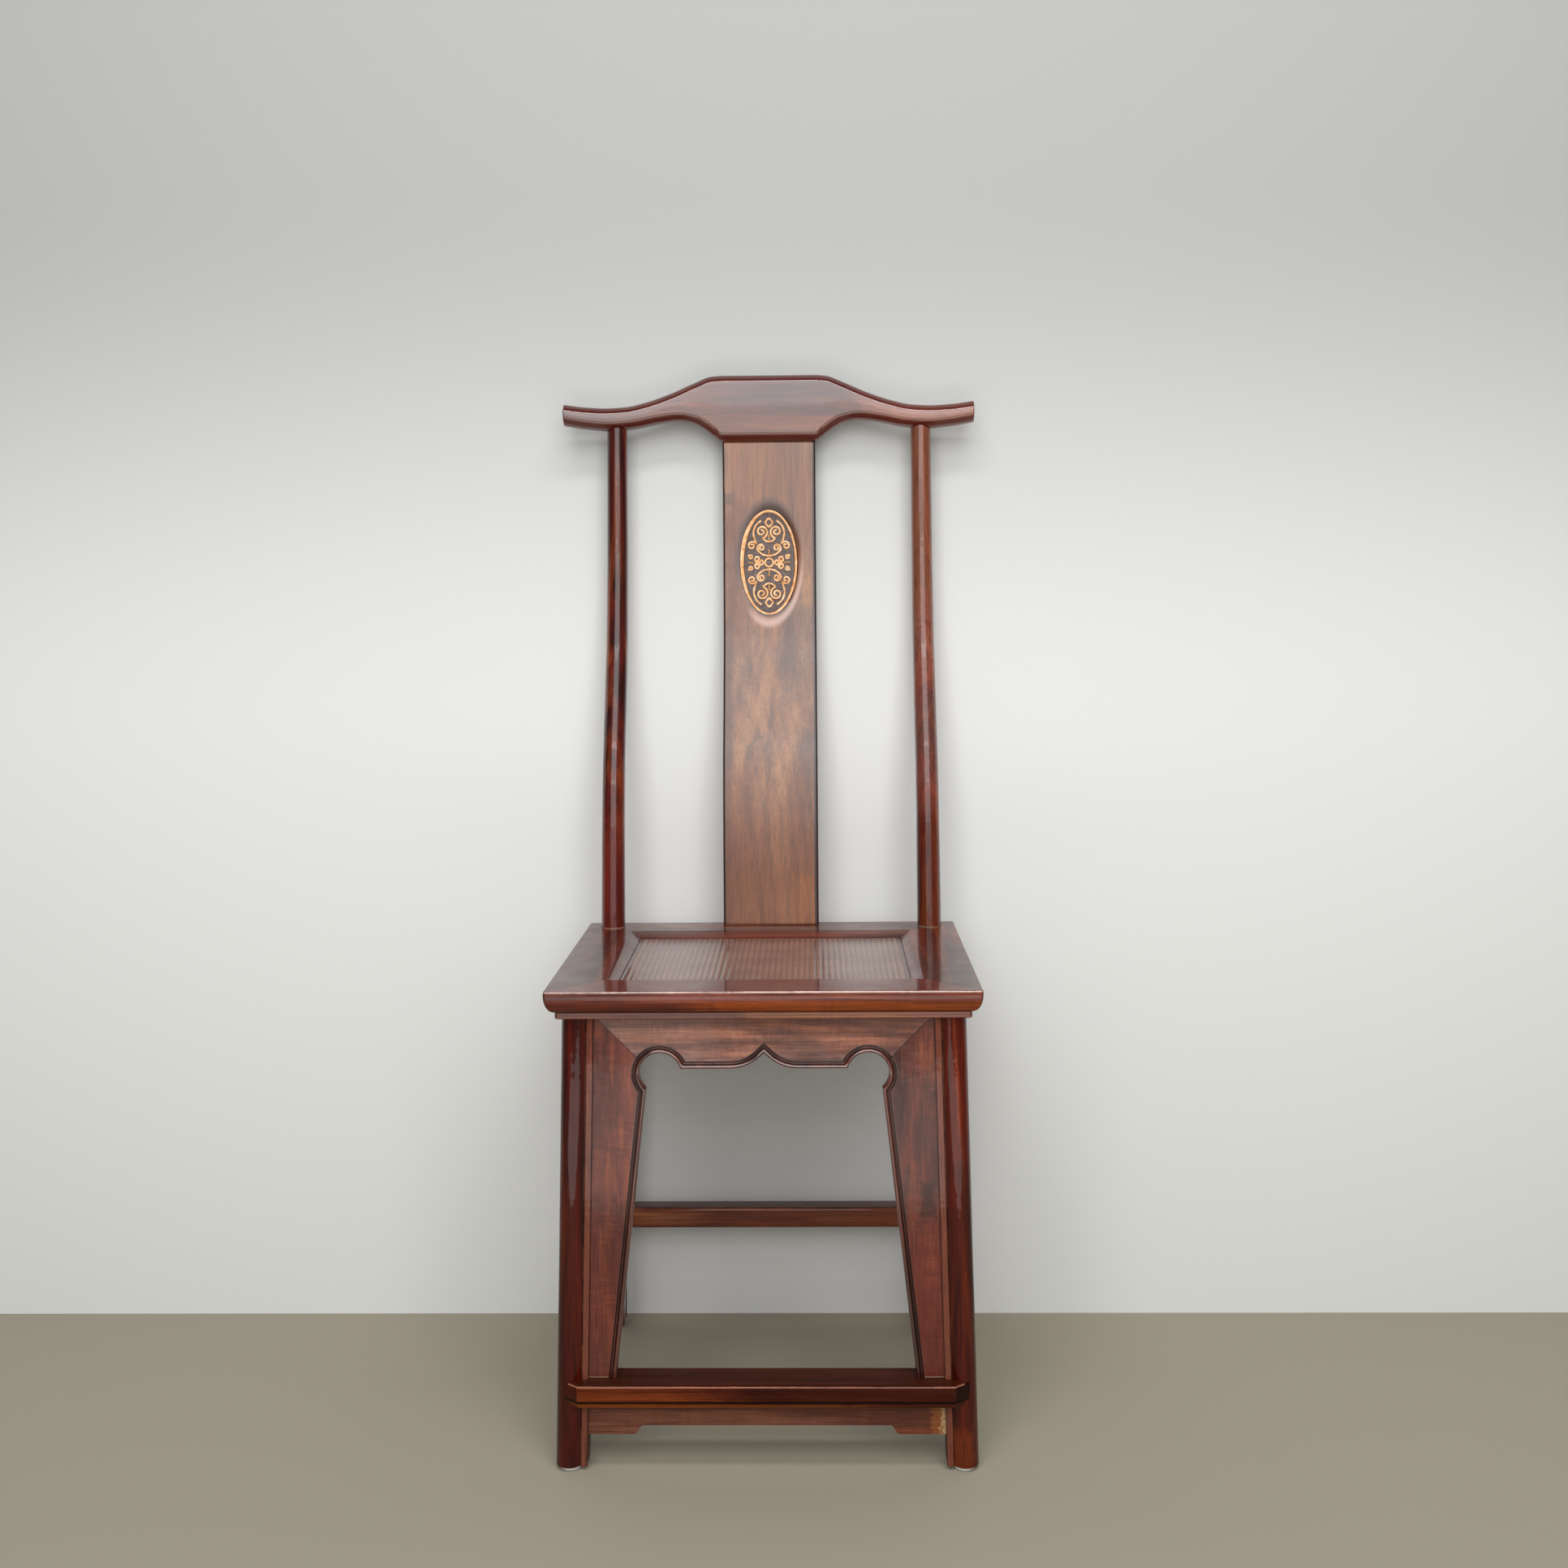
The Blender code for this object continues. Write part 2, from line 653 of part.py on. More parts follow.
def splat_rings():
    low = SEAT_HEIGHT + FIT
    rings = []
    for step in range(SPLAT_RINGS + 1):
        z = low + (CREST_BOTTOM - low) * step / SPLAT_RINGS
        share = step / SPLAT_RINGS
        width = SPLAT_WIDTH_FOOT + (SPLAT_WIDTH_TOP - SPLAT_WIDTH_FOOT) * share
        thickness = SPLAT_THICKNESS * math.hypot(1, splat_slope(z))
        section = rounded_rectangle(width, thickness, SPLAT_ARRIS)
        rings.append([Vector((u, splat_y(z) + v, z)) for u, v in section])
    rings.append([point + Vector((0, 0, CREST_ROUND_HEIGHT)) for point in rings[-1]])
    return rings


def dish_rings():
    """A shallow oval lens, bent to the splat's curve, that scoops the dish out of its front."""
    middle = CREST_BOTTOM - DISH_BELOW_CREST
    stand_off = DISH_ROUND_DEPTH - DISH_DEPTH
    spread = math.sqrt(1 - (stand_off / DISH_ROUND_DEPTH) ** 2)
    rings = []
    for depth_share in DISH_SHARES:
        girth = math.sqrt(1 - depth_share ** 2) / spread / 2
        ring = []
        for index in range(DISH_SIDES):
            angle = 2 * math.pi * index / DISH_SIDES
            z = middle + DISH_HEIGHT * girth * math.sin(angle)
            face = splat_y(z) - SPLAT_THICKNESS / 2 * math.hypot(1, splat_slope(z))
            ring.append(Vector((DISH_WIDTH * girth * math.cos(angle),
                                face - stand_off + DISH_ROUND_DEPTH * depth_share, z)))
        rings.append(ring)
    return rings


def make_splat(finish):
    splat = piece("back_splat", [splat_rings()], finish, (0, splat_y(SEAT_HEIGHT), SEAT_HEIGHT))
    cut(splat, [crest_rings(FIT)], "_cope")
    join(splat, [splat_tongue(), splat_tenon()], "_tenons")
    cut(splat, [dish_rings()], "_dish")


def make_crest(finish):
    crest = piece("crest_rail", [crest_rings()], finish, (0, POST_TOP_Y, CREST_BOTTOM))
    cut(crest, [post_tenon(LEFT, FIT), post_tenon(RIGHT, FIT), splat_tongue(FIT)], "_mortises")


# Seat frame

def frame_section():
    """Section of a frame member as insets from the outer edge and heights below the seat's top."""
    round_share = 1 - math.sqrt(0.5)
    outer = [(EDGE_ARRIS, 0), (EDGE_ARRIS * round_share, -EDGE_ARRIS * round_share), (0, -EDGE_ARRIS)]
    for step in range(CORNER_STEPS + 2):
        angle = math.pi / 2 * step / (CORNER_STEPS + 1)
        outer.append((EDGE_CURVE_DEPTH * (1 - math.cos(angle)), -EDGE_FACE - EDGE_CURVE_HEIGHT * math.sin(angle)))
    bead_top = -EDGE_FACE - EDGE_CURVE_HEIGHT
    outer.append((EDGE_BEAD_SETBACK + EDGE_QUIRK, bead_top - EDGE_QUIRK / 2))
    outer.append((EDGE_BEAD_SETBACK, bead_top - EDGE_QUIRK))
    outer.append((EDGE_BEAD_SETBACK, -FRAME_THICKNESS + EDGE_QUIRK))
    outer.append((EDGE_BEAD_SETBACK + EDGE_QUIRK, -FRAME_THICKNESS))
    groove_top = -BEVEL_DROP - MAT_THICKNESS
    groove_bottom = groove_top - BOARD_THICKNESS - 2 * FIT
    inner = [(FRAME_WIDTH, -FRAME_THICKNESS), (FRAME_WIDTH, groove_bottom),
             (FRAME_WIDTH - BOARD_GROOVE, groove_bottom), (FRAME_WIDTH - BOARD_GROOVE, groove_top),
             (FRAME_WIDTH, groove_top), (FRAME_WIDTH, -BEVEL_DROP), (FRAME_FLAT, 0)]
    return outer + inner


MITRE_GAP = FIT / 2 * math.sqrt(2)


def long_member_rings(end):
    """The front or rear member, mitred at both ends."""
    return [[Vector((sign * (SEAT_WIDTH / 2 - u - MITRE_GAP), end * (SEAT_DEPTH / 2 - u), SEAT_HEIGHT + w))
             for u, w in frame_section()] for sign in (-1, 1)]


def short_member_rings(side):
    return [[Vector((side * (SEAT_WIDTH / 2 - u), sign * (SEAT_DEPTH / 2 - u - MITRE_GAP), SEAT_HEIGHT + w))
             for u, w in frame_section()] for sign in (-1, 1)]


def frame_tenon(side, end, grow=0.0):
    """The tenon that ties a long member to a short one inside their mitre, or with growth its mortise."""
    inner = FRAME_WIDTH - BOARD_GROOVE - FRAME_TENON_WALL
    outer = inner - FRAME_TENON_WIDTH
    middle = SEAT_HEIGHT - FRAME_THICKNESS / 2
    near = side * (SEAT_WIDTH / 2 - FRAME_WIDTH - EMBED)
    far = side * (SEAT_WIDTH / 2 - FRAME_TENON_END_WALL + grow)
    edges = sorted((end * (SEAT_DEPTH / 2 - inner), end * (SEAT_DEPTH / 2 - outer)))
    half = FRAME_TENON_THICKNESS / 2 + grow
    return box((min(near, far), edges[0] - grow, middle - half), (max(near, far), edges[1] + grow, middle + half))


def post_hole(side):
    return upright_cylinder(side * leg_x(FRAME_UNDER), leg_y(REAR, FRAME_UNDER), FRAME_UNDER - OVERRUN,
                            SEAT_HEIGHT + OVERRUN, (POST_RADIUS_SEAT + FIT) / math.cos(math.pi / POST_SIDES),
                            POST_SIDES)


def leg_mortise(side):
    return front_leg_tenon(side, FIT)


def make_long_member(end, finish):
    member = piece("seat_frame_" + end_name(end), [long_member_rings(end)], finish,
                   (0, end * SEAT_DEPTH / 2, SEAT_HEIGHT))
    join(member, [frame_tenon(LEFT, end), frame_tenon(RIGHT, end)], "_tenons")
    holes = [leg_mortise(LEFT), leg_mortise(RIGHT)] if end == FRONT else [post_hole(LEFT), post_hole(RIGHT)]
    cut(member, holes, "_holes")
    sockets = [mortise_rings(*batten_layout(side), end, BATTEN_TENON, BATTEN_TENON_LENGTH)
               for side in (LEFT, RIGHT)]
    if end == REAR:
        sockets.append(splat_tenon(FIT))
    cut(member, sockets, "_mortises")


def make_short_member(side, finish):
    member = piece("seat_frame_" + side_name(side), [short_member_rings(side)], finish,
                   (side * SEAT_WIDTH / 2, 0, SEAT_HEIGHT))
    cut(member, [frame_tenon(side, FRONT, FIT), frame_tenon(side, REAR, FIT)], "_mortises")
    cut(member, [leg_mortise(side), post_hole(side)], "_holes")


def make_seat_board(finish):
    x = SEAT_WIDTH / 2 - FRAME_WIDTH + BOARD_GROOVE - FIT
    y = SEAT_DEPTH / 2 - FRAME_WIDTH + BOARD_GROOVE - FIT
    piece("seat_board", [box((-x, -y, BOARD_UNDER), (x, y, BOARD_TOP))], finish, (0, 0, BOARD_TOP))


def make_seat_mat(finish):
    x = SEAT_WIDTH / 2 - FRAME_WIDTH - FIT
    y = SEAT_DEPTH / 2 - FRAME_WIDTH - FIT
    low = BOARD_TOP + FIT
    piece("seat_mat", [box((-x, -y, low), (x, y, low + MAT_THICKNESS - FIT))], finish, (0, 0, low))


def make_batten(side, finish):
    rings = bar_rings(*batten_layout(side), (BATTEN_WIDTH, BATTEN_HEIGHT), TENON_ROUND, BATTEN_TENON,
                      BATTEN_TENON_LENGTH)
    piece("seat_batten_" + side_name(side), [rings], finish, (side * BATTEN_SPACING / 2, 0, BOARD_UNDER))


# Boards between the legs

class Panel:
    """The leaning plane between two legs, on which an apron and its spandrels lie.

    A point of it is given by its place between the legs, its height, and how proud of the boards' face it is.
    """

    def __init__(self, edge, point):
        self.edge = edge
        self.point = point
        self.middle = (edge(-1, FRAME_UNDER) + edge(1, FRAME_UNDER)) / 2
        self.half = (edge(1, FRAME_UNDER) - edge(-1, FRAME_UNDER)) / 2

    def reach(self, sign, z):
        """Distance from the middle to a leg's inner face."""
        return sign * (self.edge(sign, z) - self.middle)

    def housed(self, sign, z):
        """Distance from the middle to the bottom of the leg's groove, less the fit."""
        return self.reach(sign, z) + HOUSING_DEPTH - FIT

    def place(self, sign, s, z, proud):
        return self.point(self.middle + sign * s, z, proud)


def lengthwise_panel(end):
    """The plane between the two front legs or the two rear legs."""
    def edge(sign, z):
        return sign * (leg_x(z) - LEG_SIZE / 2)

    def point(s, z, proud):
        return Vector((s, leg_y(end, z) - end * (PANEL_FRONT - proud), z))

    return Panel(edge, point)


def crosswise_panel(side):
    """The plane between the front leg and the rear leg of one side."""
    def edge(sign, z):
        return leg_y(sign, z) - sign * LEG_SIZE / 2

    def point(s, z, proud):
        return Vector((side * (leg_x(z) - PANEL_FRONT + proud), s, z))

    return Panel(edge, point)


BEAD_SHARES = ((1, 0), (0.82, 0.72), (0.5, 1), (0.18, 0.72), (0, 0))


def edge_moulding():
    """The two beads and the groove along an opening, as distances from the edge and heights above the face."""
    fillet = APRON_BEAD_WIDTH + APRON_QUIRK_WIDTH
    groove = fillet + APRON_FILLET_WIDTH
    inner = [(groove + APRON_GROOVE_WIDTH, 0), (groove + APRON_GROOVE_WIDTH / 2, -APRON_GROOVE_DEPTH), (groove, 0),
             (fillet + APRON_FILLET_WIDTH / 2, APRON_FILLET_HEIGHT), (fillet, 0),
             (fillet - APRON_QUIRK_WIDTH / 2, -APRON_GROOVE_DEPTH)]
    return inner + [(APRON_BEAD_WIDTH * d, APRON_BEAD_HEIGHT * h) for d, h in BEAD_SHARES]


def mitred_normal(before, after):
    """The direction in which a moulding's corner moves as it is drawn inwards from two edges."""
    return (before + after) / (1 + before.dot(after))


class Opening:
    """One half of an opening's edge, from the middle of the apron, round a corner, to a spandrel's foot."""

    def __init__(self, panel, sign, drop, radius, corner, start, end, foot_z, foot_width, cusp):
        self.panel, self.sign, self.cusp = panel, sign, cusp
        self.flat = FRAME_UNDER - drop
        self.radius = radius
        self.corner = Vector(corner)
        self.start = start
        self.foot = Vector((panel.reach(sign, foot_z) - foot_width, foot_z))
        self.end = end if end is not None else math.atan((self.foot.x - self.corner.x - radius)
                                                         / (self.corner.y - foot_z))
        self.leg_corner = Vector((panel.reach(sign, LEG_TOP), LEG_TOP))

    def on_arc(self, angle):
        direction = Vector((math.cos(angle), math.sin(angle)))
        return self.corner + self.radius * direction, direction

    def on_mitre(self, distance, gap):
        """Where the line a distance inside the corner's arc meets the mitre, set off by half of the fit."""
        across = Vector((-1, 1)).normalized() * gap
        along = Vector((-1, -1)).normalized()
        start = self.leg_corner + across - self.corner
        reach = self.radius + distance
        half = -start.dot(along)
        root = math.sqrt(half ** 2 - start.length_squared + reach ** 2)
        return self.corner + start + along * (half - root)

    def mitre_angle(self):
        offset = self.on_mitre(0, 0) - self.corner
        return math.atan2(offset.y, offset.x)

    def ring(self, point, normal, far):
        """A section of the board from its moulded edge to its far edge."""
        front = [point + normal * d for d, h in edge_moulding()]
        return self.section(front, far)

    def section(self, front, far):
        heights = [h for d, h in edge_moulding()]
        back = -PANEL_THICKNESS
        points = [(far, back), (far, 0), *zip(front, heights), (front[-1], back)]
        return [self.panel.place(self.sign, p.x, p.y, proud) for p, proud in points]

    def mitre_ring(self, gap, far):
        return self.section([self.on_mitre(d, gap) for d, h in edge_moulding()], far)

    def apron_rings(self):
        """Sections from the middle of the apron to its mitre."""
        rings = []
        up = Vector((0, 1))
        first, direction = self.on_arc(self.start)
        if self.cusp:
            rise, width = self.cusp
            for step in range(CUSP_STEPS + 1):
                share = step / CUSP_STEPS
                s = width * share
                slope = -rise / width * CUSP_POWER * (1 - share) ** (CUSP_POWER - 1)
                normal = Vector((-slope, 1)).normalized()
                if step == 0:
                    normal = up / normal.y
                point = Vector((s, self.flat + rise * (1 - share) ** CUSP_POWER))
                rings.append(self.ring(point, normal, Vector((s, LEG_TOP))))
        else:
            rings.append(self.ring(Vector((0, self.flat)), up, Vector((0, LEG_TOP))))
        rings.append(self.ring(first, mitred_normal(up, direction), Vector((first.x, LEG_TOP))))
        last = self.mitre_angle()
        count = max(1, round((self.start - last) / LOBE_STEP_ANGLE))
        for step in range(1, count):
            point, direction = self.on_arc(self.start + (last - self.start) * step / count)
            far = first.x + (self.leg_corner.x - first.x) * step / count
            rings.append(self.ring(point, direction, Vector((far, LEG_TOP))))
        rings.append(self.mitre_ring(FIT / 2, self.leg_corner - Vector((MITRE_GAP, 0))))
        return rings

    def spandrel_rings(self):
        """Sections from the mitre to the foot of the spandrel."""
        top = LEG_TOP - MITRE_GAP
        rings = [self.mitre_ring(-FIT / 2, Vector((self.leg_corner.x, top)))]
        first = self.mitre_angle()
        count = max(1, round((first - self.end) / LOBE_STEP_ANGLE))
        end_point, end_normal = self.on_arc(self.end)
        edge = (self.foot - end_point).normalized()
        edge_normal = Vector((-edge.y, edge.x))
        for step in range(1, count):
            point, direction = self.on_arc(first + (self.end - first) * step / count)
            z = top + (end_point.y - top) * (step - 1) / (count - 1)
            rings.append(self.ring(point, direction, self.far_edge(z)))
        rings.append(self.ring(end_point, mitred_normal(end_normal, edge_normal), self.far_edge(end_point.y)))
        for step in range(1, SPANDREL_STEPS):
            point = end_point + (self.foot - end_point) * step / SPANDREL_STEPS
            rings.append(self.ring(point, edge_normal, self.far_edge(point.y)))
        rings.append(self.ring(self.foot, Vector((1 / edge_normal.x, 0)), self.far_edge(self.foot.y)))
        return rings

    def far_edge(self, z):
        return Vector((self.panel.housed(self.sign, z), z))


def front_opening(sign):
    panel = lengthwise_panel(FRONT)
    corner = (panel.half - LOBE_FROM_LEG, FRAME_UNDER - LOBE_DROP)
    start = math.pi - math.asin((LOBE_DROP - FRONT_APRON_DROP) / LOBE_RADIUS)
    return Opening(panel, sign, FRONT_APRON_DROP, LOBE_RADIUS, corner, start, LOBE_END_ANGLE,
                   FOOTRAIL_TOP + FIT, FRONT_SPANDREL_FOOT, (CUSP_RISE, CUSP_HALF_WIDTH))


def side_opening(side, sign):
    panel = crosswise_panel(side)
    corner = (panel.half - SIDE_SPANDREL_TOP - SIDE_CORNER_RADIUS,
              FRAME_UNDER - SIDE_APRON_DROP - SIDE_CORNER_RADIUS)
    return Opening(panel, sign, SIDE_APRON_DROP, SIDE_CORNER_RADIUS, corner, math.pi / 2, None,
                   SIDE_STRETCHER_TOP + FIT, SIDE_SPANDREL_FOOT, None)


def apron_rings(left, right):
    """The whole apron, from its left mitre to its right mitre."""
    return list(reversed(left.apron_rings())) + right.apron_rings()[1:]


def make_front_aprons(finish):
    openings = {side: front_opening(side) for side in (LEFT, RIGHT)}
    top = openings[LEFT].panel.place(1, 0, LEG_TOP, 0)
    piece("front_apron", [apron_rings(openings[LEFT], openings[RIGHT])], finish, top)
    for side, opening in openings.items():
        foot = opening.panel.place(side, opening.foot.x, opening.foot.y, 0)
        piece("front_spandrel_" + side_name(side), [opening.spandrel_rings()], finish, foot)


def make_side_aprons(side, finish):
    openings = {end: side_opening(side, end) for end in (FRONT, REAR)}
    top = openings[FRONT].panel.place(1, 0, LEG_TOP, 0)
    piece("side_apron_" + side_name(side), [apron_rings(openings[FRONT], openings[REAR])], finish, top)
    for end, opening in openings.items():
        foot = opening.panel.place(end, opening.foot.x, opening.foot.y, 0)
        name = "side_spandrel_" + side_name(side) + "_" + end_name(end)
        piece(name, [opening.spandrel_rings()], finish, foot)


def plain_board(name, panel, half_outline, finish):
    """A board that is the same at both ends, from the points of its right half in order from the middle line."""
    points = [(1, s, z) for s, z in half_outline] + [(-1, s, z) for s, z in reversed(half_outline)]
    rings = [[panel.place(sign, s, z, proud) for sign, s, z in points] for proud in (-PANEL_THICKNESS, 0)]
    piece(name, [rings], finish, panel.place(1, 0, half_outline[0][1], 0))


def make_rear_apron(finish):
    panel = lengthwise_panel(REAR)
    flat = FRAME_UNDER - REAR_APRON_DROP
    foot = FRAME_UNDER - REAR_BRACKET_DROP
    radius = flat - foot
    centre = panel.reach(RIGHT, foot) - REAR_BRACKET_WIDTH - radius
    outline = [(panel.housed(RIGHT, LEG_TOP), LEG_TOP), (panel.housed(RIGHT, foot), foot)]
    for step in range(CORNER_STEPS * 2 + 1):
        angle = math.pi / 2 * step / (CORNER_STEPS * 2)
        outline.append((centre + radius * math.cos(angle), foot + radius * math.sin(angle)))
    plain_board("rear_apron", panel, outline, finish)


def make_footrail_apron(finish):
    panel = lengthwise_panel(FRONT)
    top = FOOTRAIL_UNDER - FIT
    flat = FOOTRAIL_UNDER - FOOT_APRON_DROP
    foot = FOOTRAIL_UNDER - FOOT_BRACKET_DROP
    bracket = panel.reach(RIGHT, foot) - FOOT_BRACKET_WIDTH
    outline = [(panel.housed(RIGHT, top), top), (panel.housed(RIGHT, foot), foot), (bracket, foot)]
    for step in range(1, CORNER_STEPS + 2):
        share = step / (CORNER_STEPS + 1)
        rise = (1 - math.cos(math.pi * share)) / 2
        outline.append((bracket - FOOT_BRACKET_STEP * share, foot + (flat - foot) * rise))
    plain_board("footrail_apron", panel, outline, finish)


# Footrail and stretchers

def footrail_rings():
    """The footrail as plan outlines from its underside to its top, each drawn in by the moulding.

    Its front corners are cut off aslant."""
    front = leg_y(FRONT, FOOTRAIL_TOP) - LEG_SIZE / 2 - FOOTRAIL_PROUD
    back = leg_y(FRONT, FOOTRAIL_TOP) + LEG_SIZE / 2 - FOOTRAIL_BACK_INSET
    end = leg_x(FOOTRAIL_TOP) + LEG_SIZE / 2 - FOOTRAIL_END_INSET
    bead_top = FOOTRAIL_UNDER + FOOTRAIL_BEAD
    levels = [(FOOTRAIL_BEAD_SETBACK + EDGE_QUIRK, FOOTRAIL_UNDER),
              (FOOTRAIL_BEAD_SETBACK, FOOTRAIL_UNDER + EDGE_QUIRK),
              (FOOTRAIL_BEAD_SETBACK, bead_top - EDGE_QUIRK),
              (FOOTRAIL_BEAD_SETBACK + EDGE_QUIRK, bead_top),
              (EDGE_QUIRK, bead_top), (0, bead_top + EDGE_QUIRK)]
    for step in range(CORNER_STEPS + 1):
        angle = math.pi / 2 * step / CORNER_STEPS
        levels.append((FOOTRAIL_ARRIS * (1 - math.cos(angle)), FOOTRAIL_TOP - FOOTRAIL_ARRIS * (1 - math.sin(angle))))
    outward = Vector((1, 0))
    forward = Vector((0, -1))
    aslant = Vector((FOOTRAIL_CHAMFER_DEPTH, -FOOTRAIL_CHAMFER_WIDTH)).normalized()
    side_corner = Vector((end, front + FOOTRAIL_CHAMFER_DEPTH))
    front_corner = Vector((end - FOOTRAIL_CHAMFER_WIDTH, front))
    rings = []
    for inset, z in levels:
        half = [(end - inset, back)]
        half.append(side_corner - inset * mitred_normal(outward, aslant))
        half.append(front_corner - inset * mitred_normal(aslant, forward))
        rings.append([Vector((-x, y, z)) for x, y in half] + [Vector((x, y, z)) for x, y in reversed(half)])
    return rings


def make_footrail(finish):
    z = FOOTRAIL_TOP
    rail = piece("footrail", [footrail_rings()], finish, (0, leg_y(FRONT, z), z))
    section = leg_section(FIT, grooved=False)
    low = FOOTRAIL_UNDER - OVERRUN
    high = FOOTRAIL_TOP + OVERRUN
    cut(rail, [leg_rings(side, FRONT, section, low, high) for side in (LEFT, RIGHT)], "_copes")
    tenons = [tongue_rings(*footrail_layout(), side, FOOTRAIL_TENON, -EMBED, FOOTRAIL_TENON_LENGTH)
              for side in (LEFT, RIGHT)]
    join(rail, tenons, "_tenons")


def make_side_stretcher(side, finish):
    place, shoulder = side_stretcher_layout(side)
    rings = bar_rings(place, shoulder, (SIDE_STRETCHER_DEPTH, SIDE_STRETCHER_HEIGHT), STRETCHER_ROUND,
                      STRETCHER_TENON, STRETCHER_TENON_LENGTH)
    piece("side_stretcher_" + side_name(side), [rings], finish, place(0, 0, 0))


def make_rear_stretcher(finish):
    place, shoulder = rear_stretcher_layout()
    rings = bar_rings(place, shoulder, (REAR_STRETCHER_DEPTH, REAR_STRETCHER_HEIGHT), STRETCHER_ROUND,
                      STRETCHER_TENON, STRETCHER_TENON_LENGTH)
    piece("rear_stretcher", [rings], finish, place(0, 0, 0))


# Glides

def glide_rings():
    """A glide turned about its own axis: a chamfered disc with a nail shank on top."""
    outline = [(GLIDE_RADIUS - GLIDE_CHAMFER, 0), (GLIDE_RADIUS, GLIDE_CHAMFER), (GLIDE_RADIUS, GLIDE_THICKNESS),
               (GLIDE_SHANK_RADIUS, GLIDE_THICKNESS), (GLIDE_SHANK_RADIUS, LEG_FOOT + GLIDE_SHANK_LENGTH)]
    angles = [2 * math.pi * index / POST_SIDES for index in range(POST_SIDES)]
    return [[Vector((r * math.cos(a), r * math.sin(a), z)) for a in angles] for r, z in outline]


def make_glides(finish):
    mesh = body_mesh("glide", [glide_rings()])
    mesh.materials.append(finish)
    for end in (FRONT, REAR):
        for side in (LEFT, RIGHT):
            glide = bpy.data.objects.new("glide_" + end_name(end) + "_" + side_name(side), mesh)
            x, y, _ = foot_place(side, end)
            glide.location = (x, y, 0)
            glide.parent = chair
            bpy.context.scene.collection.objects.link(glide)


# The whole chair

def clear_scene():
    for existing in list(bpy.data.objects):
        bpy.data.objects.remove(existing, do_unlink=True)


def footprint_middle():
    """Middle of the chair's depth, from the footrail's front to the crest rail's back."""
    front = leg_y(FRONT, FOOTRAIL_TOP) - LEG_SIZE / 2 - FOOTRAIL_PROUD
    back = POST_TOP_Y + CREST_BOW + CREST_THICKNESS / 2
    return (front + back) / 2


def make_chair():
    posts, legs, frame = post_wood(), leg_wood(), frame_wood()
    aprons, rails, inner = apron_wood(), rail_wood(), inner_wood()
    make_crest(crest_wood())
    make_splat(splat_wood())
    for side in (LEFT, RIGHT):
        make_rear_post(side, posts)
        make_front_leg(side, legs)
        make_short_member(side, frame)
        make_side_aprons(side, aprons)
        make_side_stretcher(side, rails)
        make_batten(side, inner)
    for end in (FRONT, REAR):
        make_long_member(end, frame)
    make_seat_board(inner)
    make_seat_mat(mat_cane())
    make_front_aprons(aprons)
    make_rear_apron(aprons)
    make_footrail(rails)
    make_footrail_apron(aprons)
    make_rear_stretcher(rails)
    make_glides(glide_plastic())


clear_scene()
chair = bpy.data.objects.new("chair", None)
chair.location = (0, -footprint_middle(), 0)
bpy.context.scene.collection.objects.link(chair)
make_chair()
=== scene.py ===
import math

import bmesh
import bpy
from mathutils import Matrix, Vector, noise


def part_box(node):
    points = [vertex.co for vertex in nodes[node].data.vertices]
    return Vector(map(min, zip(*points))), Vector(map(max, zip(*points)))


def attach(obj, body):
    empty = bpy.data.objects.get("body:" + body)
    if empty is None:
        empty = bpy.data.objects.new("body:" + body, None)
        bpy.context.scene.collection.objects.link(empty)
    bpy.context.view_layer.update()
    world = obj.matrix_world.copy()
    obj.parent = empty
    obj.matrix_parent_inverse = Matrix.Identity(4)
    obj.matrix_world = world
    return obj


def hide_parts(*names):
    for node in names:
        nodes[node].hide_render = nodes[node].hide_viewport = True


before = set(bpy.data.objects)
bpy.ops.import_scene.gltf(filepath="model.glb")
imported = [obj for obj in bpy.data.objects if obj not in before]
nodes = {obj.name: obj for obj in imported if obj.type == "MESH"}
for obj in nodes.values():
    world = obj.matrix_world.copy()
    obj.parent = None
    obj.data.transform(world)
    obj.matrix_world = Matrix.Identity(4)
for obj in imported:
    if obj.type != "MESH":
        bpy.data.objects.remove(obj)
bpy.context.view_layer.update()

seatLow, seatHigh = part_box("seat_frame_left")
seatMiddle = (seatLow.y + seatHigh.y) / 2      # the middle of the seat, front to back
seatTop = seatHigh.z
print("frame loaded:", len(nodes), "nodes, seat top", round(seatTop, 4))


# Colours, and the small helpers that every finish uses

def paint(code):
    shares = [int(code[place:place + 2], 16) / 255 for place in (1, 3, 5)]
    return [share / 12.92 if share <= 0.04045 else ((share + 0.055) / 1.055) ** 2.4 for share in shares] + [1.0]


def join(value, socket):
    # a node's output is linked to the socket, or else a colour code or a plain value is set on it
    if isinstance(value, bpy.types.NodeSocket):
        socket.id_data.links.new(value, socket)
    else:
        socket.default_value = paint(value) if isinstance(value, str) else value


def addNode(kind, **inputs):
    # the node goes into the tree that its linked inputs come from
    tree = next(value.id_data for value in inputs.values() if isinstance(value, bpy.types.NodeSocket))
    node = tree.nodes.new("ShaderNode" + kind)
    for name, value in inputs.items():
        join(value, node.inputs[int(name[1:]) if name[0] == "i" and name[1:].isdigit() else name])
    return node


def maths(operation, first, second=0.0, third=0.0):
    node = addNode("Math", i0=first, i1=second, i2=third)
    node.operation = operation
    return node.outputs[0]


def times(first, second):
    return maths('MULTIPLY', first, second)


def vectorMaths(operation, first, second=(0.0, 0.0, 0.0)):
    node = addNode("VectorMath", i0=first, i1=second)
    node.operation = operation
    return node.outputs["Value" if operation == 'LENGTH' else "Vector"]


def faceValue(place, name):
    node = place.id_data.nodes.new("ShaderNodeAttribute")
    node.attribute_name = name
    return node.outputs["Fac"]


